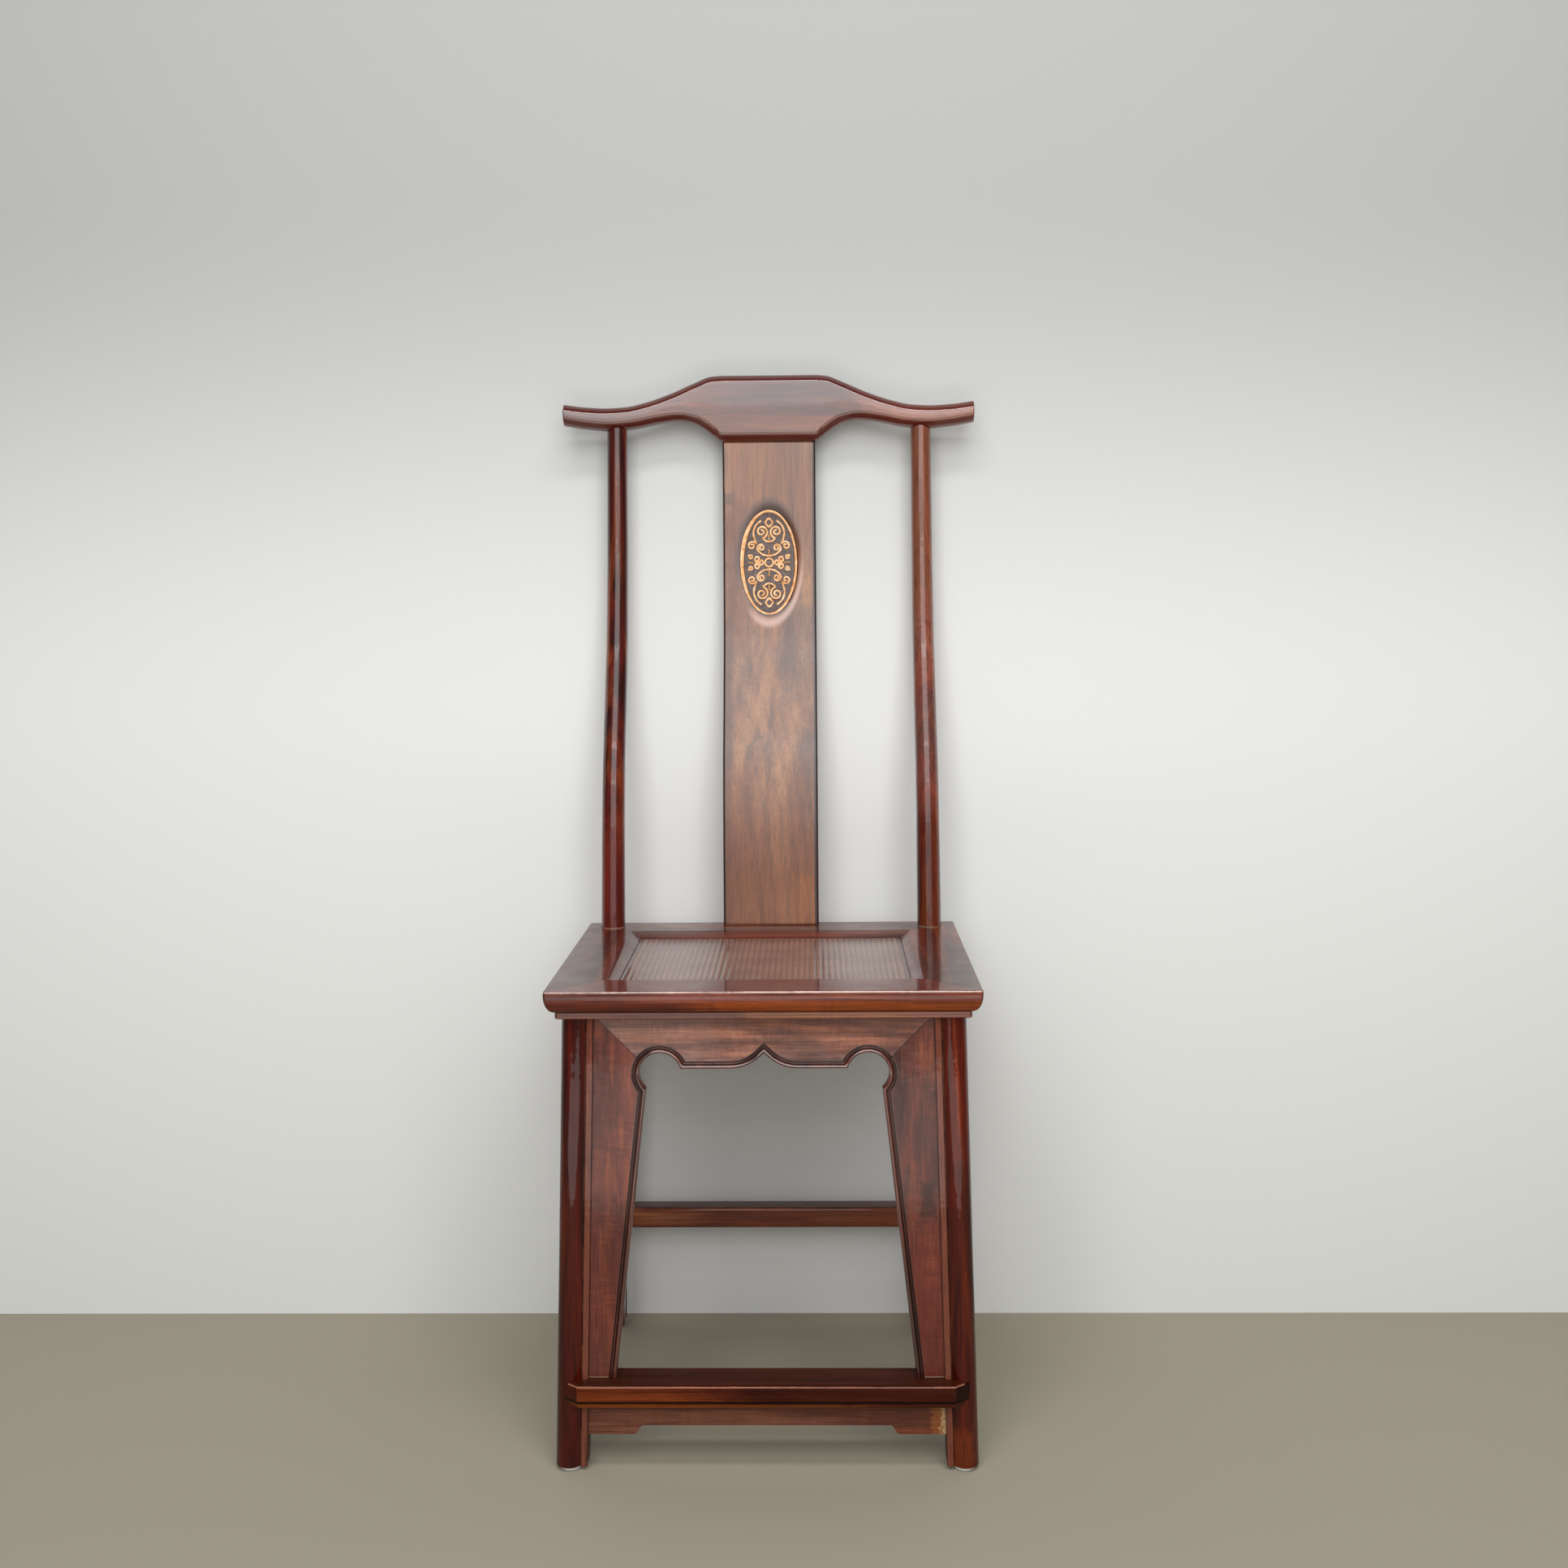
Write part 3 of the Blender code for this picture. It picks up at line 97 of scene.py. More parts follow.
def remap(value, low, high, toLow=0.0, toHigh=1.0, smooth=True):
    node = addNode("MapRange", Value=value, **{"From Min": low, "From Max": high, "To Min": toLow, "To Max": toHigh})
    node.interpolation_type = 'SMOOTHSTEP' if smooth else 'LINEAR'
    return node.outputs["Result"]


def blend(amount, first, second):
    node = addNode("Mix", i0=amount, i6=first, i7=second)
    node.data_type = 'RGBA'
    return node.outputs[2]


def cloudy(vector, scale=1.0, detail=3.0, roughness=0.5, distortion=0.0):
    node = addNode("TexNoise", Vector=vector, Scale=scale, Detail=detail, Roughness=roughness, Distortion=distortion)
    return node.outputs["Fac"]


def colourSteps(value, steps):
    node = addNode("ValToRGB", Fac=value)
    ramp = node.color_ramp
    while len(ramp.elements) < len(steps):
        ramp.elements.new(0.5)
    for element, (place, code) in zip(ramp.elements, steps):
        element.position = place
        element.color = paint(code)
    return node.outputs["Color"]


def addBump(height, strength, distance, target):
    bump = addNode("Bump", Strength=strength, Distance=distance, Height=height)
    join(bump.outputs["Normal"], target)
    return bump


def startFinish(name):
    finish = bpy.data.materials.new(name)
    finish.use_nodes = True
    return finish, finish.node_tree, finish.node_tree.nodes["Principled BSDF"]


def setShader(shader, look):
    for name, socket in (("specular", "Specular IOR Level"), ("coat", "Coat Weight"),
                         ("coatRoughness", "Coat Roughness"), ("coatIor", "Coat IOR")):
        if name in look:
            join(look[name], shader.inputs[socket])


def zoneRows(usualY, *rows):
    # each row: x from and to, z from and to, softness in x and in z, amount, colour, and then, where they aren't the
    # usual ones, how ragged the edge is, at what scale, and what else the zone has
    zones = []
    for left, right, bottom, top, softX, softZ, amount, code, *more in rows:
        ragged, raggedScale, special = (*more, *(1.5, 60.0, {})[len(more):])
        near, far = special.get("y", usualY)
        zones.append({"low": (left, near, bottom), "high": (right, far, top), "amount": amount, "colour": code,
                      "soft": (softX, special.get("softY", 0.1), softZ), "ragged": ragged,
                      "raggedScale": raggedScale, "lean": special.get("lean", 0.0)})
    return tuple(zones)


def boxMask(place, zone):
    # 1 inside a soft-edged box of the chair's space, and 0 outside it
    low, high, soft = (Vector(zone[name]) for name in ("low", "high", "soft"))
    spot = place
    if zone["lean"]:                   # the box leans sideways as it rises, by this much per metre
        rise = addNode("SeparateXYZ", Vector=place).outputs[2]
        sideways = addNode("CombineXYZ", X=times(rise, -zone["lean"])).outputs[0]
        spot = vectorMaths('ADD', place, sideways)
    away = vectorMaths('ABSOLUTE', vectorMaths('SUBTRACT', spot, tuple((low + high) / 2)))
    past = vectorMaths('SUBTRACT', away, tuple((high - low) / 2))
    parts = addNode("SeparateXYZ", Vector=vectorMaths('DIVIDE', past, tuple(soft))).outputs
    furthest = maths('MAXIMUM', maths('MAXIMUM', parts[0], parts[1]), parts[2])
    noisy = maths('SUBTRACT', cloudy(place, scale=zone["raggedScale"], detail=4.0), 0.5)
    return remap(maths('MULTIPLY_ADD', noisy, zone["ragged"], furthest), 0.0, 1.0, zone["amount"], 0.0)


# Lacquered wood

grainTurns = {"z": (0.0, 0.0, 0.0), "x": (0.0, math.radians(-90), 0.0), "y": (math.radians(90), 0.0, 0.0)}

woodDefaults = {
    "steps": ((0.30, "#2c0f0d"), (0.44, "#4a1d16"), (0.56, "#5f2c20"), (0.70, "#7c4330")),
    "bandAcross": 30.0, "bandAlong": 1.6, "bandWarp": 0.8,
    "dark": "#1e0a0a", "darkAmount": 0.55, "darkAcross": 60.0, "darkAlong": 3.0,
    "warm": "#9a4a22", "warmAmount": 0.35, "warmAcross": 45.0, "warmAlong": 2.0,
    "blotch": "#2a1214", "blotchAmount": 0.0, "blotchAcross": 22.0, "blotchAlong": 13.2,
    "curl": 0.0, "curlAcross": 8.0, "curlAlong": 75.0,
    "fibre": 0.24, "fibreAcross": 800.0, "fibreAlong": 13.0,
    "pore": 0.35, "poreAcross": 1500.0, "poreAlong": 60.0,
    # the last colour below is painted shade, for grooves and sloped bevels
    "wear": "#b06a3c", "wearAndPaintedSheenAmount": 0.35, "paintedShade": "#120504",
    "roughness": 0.36, "coat": 0.85, "coatRoughness": 0.06, "coatIor": 1.5, "wave": 0.25, "specular": 0.22,
    "lines": 0.35, "linesAcross": 420.0, "linesAlong": 7.0,
    "rings": 0.0, "ringMiddle": (0.0, 0.0, 0.0), "ringStretch": (30.0, 30.0, 5.0),
    "zones": (), "oval": None,
}


def insideOval(place, oval, low, high):
    # 1 inside an oval that stands upright in the chair's space, and 0 outside it
    moved = addNode("Mapping", Vector=place, Scale=(1 / oval["halfWidth"], 0.0, 1 / oval["halfHeight"]),
                    Location=(-oval["middleX"] / oval["halfWidth"], 0.0, -oval["middleZ"] / oval["halfHeight"]))
    return remap(vectorMaths('LENGTH', moved.outputs["Vector"]), low, high, 1.0, 0.0)


def paintOval(place, oval, plain):
    # painted shade above the sunk oval, a painted highlight on the shoulder below it, a dark outline of painted
    # shade and a stippled ground
    spot = addNode("SeparateXYZ", Vector=place).outputs
    rise = maths('DIVIDE', maths('SUBTRACT', spot[2], oval["middleZ"]), oval["halfHeight"])
    side = maths('DIVIDE', maths('SUBTRACT', spot[0], oval["middleX"]), oval["halfWidth"])
    upLeft = maths('MULTIPLY_ADD', side, -0.45, times(rise, 0.85))
    around = insideOval(place, oval, 1.10, 1.34)
    shoulder = maths('SUBTRACT', insideOval(place, oval, 1.18, 1.30),
                     insideOval(place, oval, 1.05, 1.16))
    colour = plain
    # the dark crescent above is painted shade and the pale one below is a painted highlight
    for name, mask, start, full in (("dirt", around, -0.35, 0.70), ("rubbedAndPaintedSheen", shoulder, -0.25, -0.85)):
        mask = times(times(mask, remap(upLeft, start, full)), oval[name + "Amount"])
        colour = blend(mask, colour, oval[name])
    # the dark outline is painted shade at the foot of the carved rim
    colour = blend(insideOval(place, oval, 1.03, 1.08), colour, oval["outline"])
    specks = addNode("TexVoronoi", Vector=place, Scale=oval["stipple"]).outputs["Distance"]
    ground = colourSteps(specks, ((0.15, oval["low"]), (0.45, oval["ground"]), (0.75, oval["high"])))
    inside, facing = insideOval(place, oval, 0.98, 1.0), faceValue(place, "facing")
    colour = blend(facing, plain, blend(inside, colour, ground))
    return colour, times(times(inside, facing), specks)


def lacqueredWood(name, look, grain="z", shift=(0.0, 0.0, 0.0)):
    look = {**woodDefaults, **look}
    finish, tree, shader = startFinish(name)
    place = tree.nodes.new("ShaderNodeTexCoord").outputs["Object"]
    turned = addNode("Mapping", Vector=place, Rotation=grainTurns[grain], Location=shift).outputs["Vector"]

    def streaks(kind, moved=(0.0, 0.0, 0.0), **more):
        across, along = look[kind + "Across"], look[kind + "Along"]
        drawnOut = addNode("Mapping", Vector=turned, Location=moved, Scale=(across, across, along))
        return cloudy(drawnOut.outputs["Vector"], **more)

    def stained(under, mask, kind):
        return blend(mask, under, look[kind])

    colour = colourSteps(streaks("band", detail=5.0, roughness=0.55, distortion=look["bandWarp"]), look["steps"])
    for kind, moved, detail, distortion, low, high in (("dark", (3.1, 0.7, 0.0), 4.0, 0.6, 0.52, 0.68),
                                                       ("warm", (0.0, 5.3, 1.7), 4.0, 0.9, 0.50, 0.70),
                                                       ("blotch", (7.0, 2.0, 4.0), 3.0, 0.4, 0.50, 0.66)):
        if look[kind + "Amount"]:
            patches = streaks(kind, moved, detail=detail, distortion=distortion)
            colour = stained(colour, remap(patches, low, high, 0.0, look[kind + "Amount"]), kind)
    for zone in look["zones"]:
        colour = blend(boxMask(place, zone), colour, zone["colour"])
    if look["rings"]:                  # the growth rings of a flat-sawn board, as tall nested arches
        arches = addNode("Mapping", Vector=turned, Scale=look["ringStretch"],
                         Location=tuple(-m * s for m, s in zip(look["ringMiddle"], look["ringStretch"])))
        wave = addNode("TexWave", Vector=arches.outputs["Vector"], Scale=0.9, Distortion=2.2, Detail=3.0,
                       **{"Detail Scale": 1.3, "Detail Roughness": 0.6})
        wave.wave_type, wave.rings_direction, wave.wave_profile = 'RINGS', 'SPHERICAL', 'SIN'
        late = remap(wave.outputs["Fac"], 0.45, 0.95, 0.0, look["rings"])
        colour = stained(colour, times(late, boxMask(place, look["ringZone"][0])), "dark")
    if look["curl"]:
        curl = streaks("curl", detail=2.0, distortion=0.9)
        patchy = remap(cloudy(turned, scale=26.0, detail=3.0), 0.40, 0.62, 0.10, 1.0)
        shade = maths('MULTIPLY_ADD', remap(curl, 0.30, 0.70, -look["curl"], look["curl"]), patchy, 1.0)
        colour = vectorMaths('MULTIPLY', colour, shade)
    fibre = streaks("fibre", detail=3.0, roughness=0.6)
    shade = remap(fibre, 0.30, 0.70, 1.0 - look["fibre"], 1.0 + look["fibre"], smooth=False)
    colour = vectorMaths('MULTIPLY', colour, shade)
    pores = remap(streaks("pore", (1.0, 9.0, 3.0), detail=1.0), 0.60, 0.72, 0.0, look["pore"])
    lines = streaks("lines", (6.0, 4.0, 8.0), detail=4.0, roughness=0.65, distortion=0.25)
    colour = stained(colour, pores, "dark")
    colour = stained(colour, remap(lines, 0.52, 0.64, 0.0, look["lines"]), "dark")
    # the arrises' wear colour; on the side and rear stretchers it is also a painted highlight
    rubbedAndPaintedSheen = cloudy(place, scale=45.0, detail=5.0, roughness=0.65)
    worn = times(faceValue(place, "wear"), remap(rubbedAndPaintedSheen, 0.40, 0.60, 0.0, look["wearAndPaintedSheenAmount"]))
    # grooves and bevels get their painted shade here
    colour = stained(stained(colour, worn, "wear"), faceValue(place, "paintedShade"), "paintedShade")
    if look["oval"]:
        colour, dents = paintOval(place, look["oval"], colour)
    join(colour, shader.inputs["Base Color"])

    handled = cloudy(place, scale=26.0, detail=4.0)
    join(remap(handled, 0.35, 0.65, look["roughness"] - 0.05, look["roughness"] + 0.07),
         shader.inputs["Roughness"])
    ridges = maths('SUBTRACT', times(fibre, 0.5), pores)
    ripple = maths('MULTIPLY_ADD', fibre, 0.06, cloudy(place, scale=55.0, detail=2.0))
    for height, strength, distance, socket in ((ridges, 0.35, 0.00012, "Normal"),
                                               (ripple, look["wave"], 0.0006, "Coat Normal")):
        bump = addBump(height, strength, distance, shader.inputs[socket])
        if look["oval"]:
            addBump(dents, 0.8, 0.0008, bump.inputs["Normal"])
    setShader(shader, look)
    finish.diffuse_color = paint(look["steps"][1][1])
    return finish


# Pieces made from the frame's own solids: merged, their arrises eased, and their narrow faces marked for wear, which
# on the side and rear stretchers is partly a painted highlight

solids = {"mergeWithin": 0.000004, "flatWithin": math.radians(0.8), "sharpFrom": math.radians(35)}


def mergedCopy(nodeName):
    mesh = bmesh.new()
    mesh.from_mesh(nodes[nodeName].data)
    bmesh.ops.remove_doubles(mesh, verts=mesh.verts[:], dist=solids["mergeWithin"])
    bmesh.ops.dissolve_limit(mesh, angle_limit=solids["flatWithin"], use_dissolve_boundaries=False,
                             verts=mesh.verts[:], edges=mesh.edges[:])
    return mesh


def bevelEdges(mesh, edges, width, segments):
    bmesh.ops.bevel(mesh, geom=edges, offset=width, offset_type='OFFSET', affect='EDGES', segments=segments,
                    profile=0.5, clamp_overlap=True, material=-1)


def easeArrises(mesh, width, segments, chosen=None):
    sharp = [edge for edge in mesh.edges if len(edge.link_faces) == 2
             and edge.calc_face_angle(0.0) > solids["sharpFrom"] and (chosen is None or chosen(edge))]
    bevelEdges(mesh, sharp, width, segments)


def markWearAndPaintedSheen(mesh, narrow=0.0021):
    layer = mesh.faces.layers.float.new("wear")
    for face in mesh.faces:
        longest = max(edge.calc_length() for edge in face.edges)
        face[layer] = 1.0 if face.calc_area() / longest < narrow else 0.0


def markGrooveShade(mesh, depth=0.0004, furthest=0.0012, turned=0.35):
    # the moulded pieces have one broad front face; what lies behind it near the moulding is the groove, which gets
    # painted shade
    mesh.normal_update()
    front = max((face for face in mesh.faces if face.normal.y < -0.7), key=lambda face: face.calc_area())
    middle, normal = front.calc_center_median(), front.normal.copy()
    layer = mesh.faces.layers.float.new("paintedShade")
    for face in mesh.faces:
        behind = -(face.calc_center_median() - middle).dot(normal)
        near = face.normal.dot(normal) >= turned and behind < furthest
        face[layer] = min(max(behind / depth, 0.0), 1.0) if near else 0.0


def addObject(name, data):
    thing = bpy.data.objects.new(name, data)
    bpy.context.scene.collection.objects.link(thing)
    return thing


def addMesh(name, mesh, finish):
    data = bpy.data.meshes.new(name)
    mesh.to_mesh(data)
    mesh.free()
    data.materials.append(finish)
    return addObject(name, data)


def addPiece(name, mesh, finish, slotName, *replaced):
    piece = addMesh(name, mesh, finish)
    piece.data.shade_smooth()
    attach(piece, "root")
    if replaced:
        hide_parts(*replaced)
    return piece


def evenNormals(piece):
    step = piece.modifiers.new("flat faces stay flat", 'WEIGHTED_NORMAL')
    step.mode = 'FACE_AREA'
    step.weight = 60
    step.keep_sharp = False
    return piece


frontGlide = {"broader": 1.20, "forward": 0.0029, "outward": 0.0016, "nailRadius": 0.003}


def shiftGlide(mesh, base):
    # the discs of the front glides are nailed on a little forward, so that they show
    discs = [vert for vert in mesh.verts if vert.co.z < base + 0.0001]
    middle = sum((vert.co for vert in discs), Vector()) / len(discs)
    broader = frontGlide["broader"]
    for vert in discs:
        across, along = vert.co.x - middle.x, vert.co.y - middle.y
        if math.hypot(across, along) > frontGlide["nailRadius"]:
            vert.co.x = middle.x + across * broader
            vert.co.x += math.copysign(frontGlide["outward"], middle.x)
            vert.co.y = middle.y + along * broader - frontGlide["forward"]


def dressNode(nodeName, finish, slotName, easing=0.0004, segments=2, mouldingFinish=None, seatMember=False):
    mesh = mergedCopy(nodeName)
    if nodeName.startswith("glide_front"):
        shiftGlide(mesh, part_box("front_leg_left")[0].z)
    if mouldingFinish:
        markGrooveShade(mesh)
    easeArrises(mesh, easing, segments, chosen=(lambda edge: not onMitre(edge)) if seatMember else None)
    markWearAndPaintedSheen(mesh)
    if seatMember:
        easeArrises(mesh, seatEdge["mitreEase"], 1, chosen=onMitre)
        shapeSeatEdge(mesh)
    parts = nodeName.split("_")
    name = parts[0] + "".join(part.capitalize() for part in parts[1:])
    piece = addPiece(name, mesh, finish, slotName, nodeName)
    if mouldingFinish:
        piece.data.materials.append(mouldingFinish)
        worn, sunk = (piece.data.attributes[layer].data for layer in ("wear", "paintedShade"))
        for face in piece.data.polygons:
            if worn[face.index].value > 0.5 or sunk[face.index].value > 0.5:
                face.material_index = 1
    return evenNormals(piece)


# The seat's moulded edge: a fuller curve than its solids have, and corners that are rounded seen from above

seatEdge = {
    "solidArris": 0.0012, "solidFlat": 0.0140, "solidHeight": 0.0090, "solidDepth": 0.0065, "solidStrip": 0.0072,
    "crownHeight": 0.0044, "crownInset": 0.0013, "curveTop": 0.0045, "curveHeight": 0.0185, "curveDepth": 0.0095,
    "levels": (0.0024, 0.0044, 0.0067, 0.0092, 0.0116, 0.0157, 0.0189, 0.0214, 0.02275), "slack": 0.0013,
    "cornerRadius": 0.0032, "cornerCuts": (0.0008, 0.0016, 0.0024, 0.0032), "mitreEase": 0.00025,
}
frameLow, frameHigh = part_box("seat_frame_left")[0].copy(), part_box("seat_frame_right")[1].copy()
frameLow.y, frameHigh.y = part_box("seat_frame_front")[0].y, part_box("seat_frame_rear")[1].y


def frameInsets(place):
    # how far a place stands in from the seat frame's outermost lines, from side to side and front to back
    return [min(place[axis] - frameLow[axis], frameHigh[axis] - place[axis]) for axis in (0, 1)]


def onMitre(edge):
    return all(abs(across - along) < 0.0003 for across, along in (frameInsets(vert.co) for vert in edge.verts))


def roundInset(drop, start, height, depth):
    share = min(max((drop - start) / height, 0.0), 1.0)
    return depth * (1 - math.sqrt(1 - share * share))


def solidInset(drop):
    size = seatEdge
    if drop > size["solidFlat"] + size["solidHeight"] - 0.00001:
        return size["solidStrip"]
    arris = roundInset(size["solidArris"] - drop, 0.0, size["solidArris"], size["solidArris"])
    return arris + roundInset(drop, size["solidFlat"], size["solidHeight"], size["solidDepth"])


def onOuterFace(place):
    return min(frameInsets(place)) < solidInset(seatTop - place.z) + seatEdge["slack"]


def cutOuterFaces(mesh, place, normal):
    faces = [face for face in mesh.faces if all(onOuterFace(vert.co) for vert in face.verts)]
    parts = {part for face in faces for part in (face, *face.edges, *face.verts)}
    bmesh.ops.bisect_plane(mesh, geom=list(parts), plane_co=place, plane_no=normal, dist=0.000001)


def shapeSeatEdge(mesh):
    size = seatEdge
    for level in size["levels"]:
        cutOuterFaces(mesh, (0.0, 0.0, seatTop - level), (0.0, 0.0, 1.0))
    for cut in size["cornerCuts"]:
        for cornerX, wayX in ((frameLow.x, 1), (frameHigh.x, -1)):
            for cornerY, wayY in ((frameLow.y, 1), (frameHigh.y, -1)):
                for across, along in ((cut, 0.0), (0.0, cut)):
                    cutOuterFaces(mesh, (cornerX + wayX * across, cornerY + wayY * along, 0.0), (wayX, -wayY, 0.0))
    radius = size["cornerRadius"]
    curveEnd = size["curveTop"] + size["curveHeight"]
    for vert in [vert for vert in mesh.verts if onOuterFace(vert.co)]:
        drop = seatTop - vert.co.z
        both = frameInsets(vert.co)
        nearer = 0 if both[0] < both[1] else 1
        inset, beside = both[nearer], both[1 - nearer]
        fuller = roundInset(size["crownHeight"] - drop, 0.0, size["crownHeight"], size["crownInset"])
        fuller += roundInset(drop, size["curveTop"], size["curveHeight"], size["curveDepth"])
        if drop >= curveEnd - 0.00001:
            fuller = inset + size["curveDepth"] - size["solidDepth"]
        elif drop < size["solidArris"]:
            fuller += inset - solidInset(drop)
        along = beside - inset
        if along < radius + 0.00001:
            angle = math.radians(45 + 45 * min(along / radius, 1.0))
            beside = fuller + radius * (1 - math.cos(angle))
            fuller += radius * (1 - math.sin(angle))
        for axis, amount in ((nearer, fuller), (1 - nearer, beside)):
            lowSide = vert.co[axis] - frameLow[axis] < frameHigh[axis] - vert.co[axis]
            vert.co[axis] = frameLow[axis] + amount if lowSide else frameHigh[axis] - amount


# Crest rail

crestRail = {
    "length": 0.4925, "thickness": 0.028, "height": 0.079, "bow": 0.006,
    "chamfer": 0.0078, "chamferEase": 0.0030, "tipEase": 0.0014, "cuts": 160,
    # the first two set the painted shade on the sloping chamfers
    "bevelShadeAmount": 0.85, "bevelSlant": 0.6, "steepest": 1.2,
    "topLine": ((0.0, 1.0), (0.22, 1.0), (0.28, 0.987), (0.36, 0.894), (0.48, 0.733), (0.60, 0.605), (0.70, 0.537),
                (0.80, 0.520), (0.90, 0.536), (1.0, 0.575)),
    "bottomLine": ((0.2395, 0.0), (0.28, 0.106), (0.32, 0.199), (0.36, 0.265), (0.44, 0.311), (0.54, 0.276),
                   (0.66, 0.204), (0.78, 0.175), (0.89, 0.200), (1.0, 0.254)),
}


def smoothLine(points, place):
    # the smooth curve through a few points, which never overshoots them
    places, values = zip(*points)
    place = min(max(place, places[0]), places[-1])
    slopes = [(values[i + 1] - values[i]) / (places[i + 1] - places[i]) for i in range(len(points) - 1)]
    tangents = [slopes[0]]
    tangents += [2 * a * b / (a + b) if a * b > 0 else 0.0 for a, b in zip(slopes, slopes[1:])]
    tangents.append(slopes[-1])
    i = 0
    while i < len(slopes) - 1 and place > places[i + 1]:
        i += 1
    span = places[i + 1] - places[i]
    t = (place - places[i]) / span
    start = (1 + 2 * t) * (1 - t) ** 2 * values[i] + t * (1 - t) ** 2 * span * tangents[i]
    return start + t ** 2 * (3 - 2 * t) * values[i + 1] - t ** 2 * (1 - t) * span * tangents[i + 1]


posts = {"topX": 0.183, "topY": 0.250, "footY": 0.162, "rise": 0.5767}     # the y values from the seat's middle
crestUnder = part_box("crest_rail")[0].z


def crestOutline(line, x):
    return crestRail["height"] * smoothLine(crestRail[line], abs(x) / (crestRail["length"] / 2))


def slopeOf(line, place, step):
    return (line(place + step) - line(place - step)) / (2 * step)


def cubeMesh(size):
    mesh = bmesh.new()
    bmesh.ops.create_cube(mesh, size=1.0)
    bmesh.ops.scale(mesh, vec=size, verts=mesh.verts[:])
    return mesh


def edgesAlong(mesh, axis, longerThan):
    return [edge for edge in mesh.edges if abs(edge.verts[0].co[axis] - edge.verts[1].co[axis]) > longerThan]


def buildCrestRail():
    size = crestRail
    half = size["height"] / 2
    mesh = cubeMesh((size["length"], size["thickness"], size["height"]))
    for width, segments in ((size["chamfer"], 1), (size["chamferEase"], 4)):
        bevelEdges(mesh, edgesAlong(mesh, 0, size["length"] / 2), width, segments)
    tip = size["length"] / 2 - 0.0001
    rims = [edge for edge in mesh.edges if all(abs(vert.co.x) > tip for vert in edge.verts)
            and edge.calc_face_angle(0.0) > math.radians(40)]
    bevelEdges(mesh, rims, size["tipEase"], 3)
    mesh.normal_update()
    worn, bevelShade = (mesh.faces.layers.float.new(name) for name in ("wear", "paintedShade"))
    for face in mesh.faces:
        face[worn] = 1.0 if abs(face.calc_center_median().x) > tip - size["tipEase"] else 0.0
        # sloping chamfer faces get painted shade, darkest where they slope about halfway between front and top or
        # bottom
        slant = min(abs(face.normal.y), abs(face.normal.z))
        face[bevelShade] = size["bevelShadeAmount"] * min(slant / size["bevelSlant"], 1.0)
    bmesh.ops.subdivide_edges(mesh, edges=edgesAlong(mesh, 0, size["length"] / 2), cuts=size["cuts"],
                              use_grid_fill=True)
    for vert in mesh.verts:            # each half keeps its own distance from the outline that it follows
        x, y, z = vert.co
        line = "topLine" if z > 0 else "bottomLine"
        slope = slopeOf(lambda place: crestOutline(line, place), x, 0.001)
        drawn = (half - abs(z)) * math.hypot(1, min(abs(slope), size["steepest"]))
        height = crestOutline(line, x) + (-drawn if z > 0 else drawn)
        bow = size["bow"] * (1 - (x / posts["topX"]) ** 2)
        vert.co = (x, seatMiddle + posts["topY"] + bow + y, crestUnder + height)
    return mesh


# Back splat with its sunk oval

postKnots = ((0.0, 0.0), (0.18, 0.09), (0.32, 0.24), (0.46, 0.55), (0.60, 0.80), (0.78, 0.94), (1.0, 1.0))
postRise = posts["rise"] + crestOutline("bottomLine", posts["topX"])

backSplat = {
    "widthFoot": 0.1140, "widthTop": 0.1124, "thickness": 0.0110, "arris": 0.0026,
    "behindPosts": 0.014, "recline": 0.088,
    "dishMiddle": 0.0010, "dishZ": 0.9327, "dishWidth": 0.0800, "dishHeight": 0.146, "dishDepth": 0.0048,
    "dishShoulder": 0.40, "cutsUp": 240, "cutsAcross": 56, "gap": 0.0003,
}


def backRecline(z):
    return backSplat["recline"] * smoothLine(postKnots, (z - seatTop) / postRise)


def splatMiddle(z):
    share = min(max((z - seatTop) / (crestUnder - seatTop), 0.0), 1.0)
    setBack = backSplat["behindPosts"] + (crestRail["bow"] - backSplat["behindPosts"]) * share
    return seatMiddle + posts["footY"] + backRecline(z) + setBack


def splatSlant(z):
    return math.hypot(1, slopeOf(splatMiddle, z, 0.002))


def splatFace(z):
    return splatMiddle(z) - backSplat["thickness"] / 2 * splatSlant(z)


def dishDepthAt(x, z):
    size = backSplat
    away = math.hypot((x - size["dishMiddle"]) / (size["dishWidth"] / 2),
                      (z - size["dishZ"]) / (size["dishHeight"] / 2))
    share = min(max((1 - away) / size["dishShoulder"], 0.0), 1.0)
    return size["dishDepth"] * share * share * (3 - 2 * share)


def buildBackSplat():
    size = backSplat
    low, high = seatTop + size["gap"], crestUnder - size["gap"]
    mesh = cubeMesh((size["widthFoot"], size["thickness"], high - low))
    bmesh.ops.translate(mesh, vec=(0.0, 0.0, (high + low) / 2), verts=mesh.verts[:])
    bevelEdges(mesh, edgesAlong(mesh, 2, 0.1), size["arris"], 4)
    for axis, longerThan, cuts in ((2, 0.1, size["cutsUp"]), (0, 0.05, size["cutsAcross"])):
        bmesh.ops.subdivide_edges(mesh, edges=edgesAlong(mesh, axis, longerThan), cuts=cuts, use_grid_fill=True)
    worn, facing = (mesh.faces.layers.float.new(name) for name in ("wear", "facing"))
    for face in mesh.faces:
        middle = face.calc_center_median()
        face[worn] = 1.0 if abs(middle.x) > size["widthFoot"] / 2 - size["arris"] else 0.0
        face[facing] = 1.0 if middle.y < 0 else 0.0
    for vert in mesh.verts:
        x, y, z = vert.co
        share = (z - low) / (high - low)
        x *= 1 + (size["widthTop"] / size["widthFoot"] - 1) * share
        y = splatMiddle(z) + y * splatSlant(z)
        if vert.co.y < 0:
            y += dishDepthAt(x, z)
        vert.co = (x, y, z)
    return mesh


# Carved oval medallion: a rim and cloud scrolls, the same on both sides and the same upside down

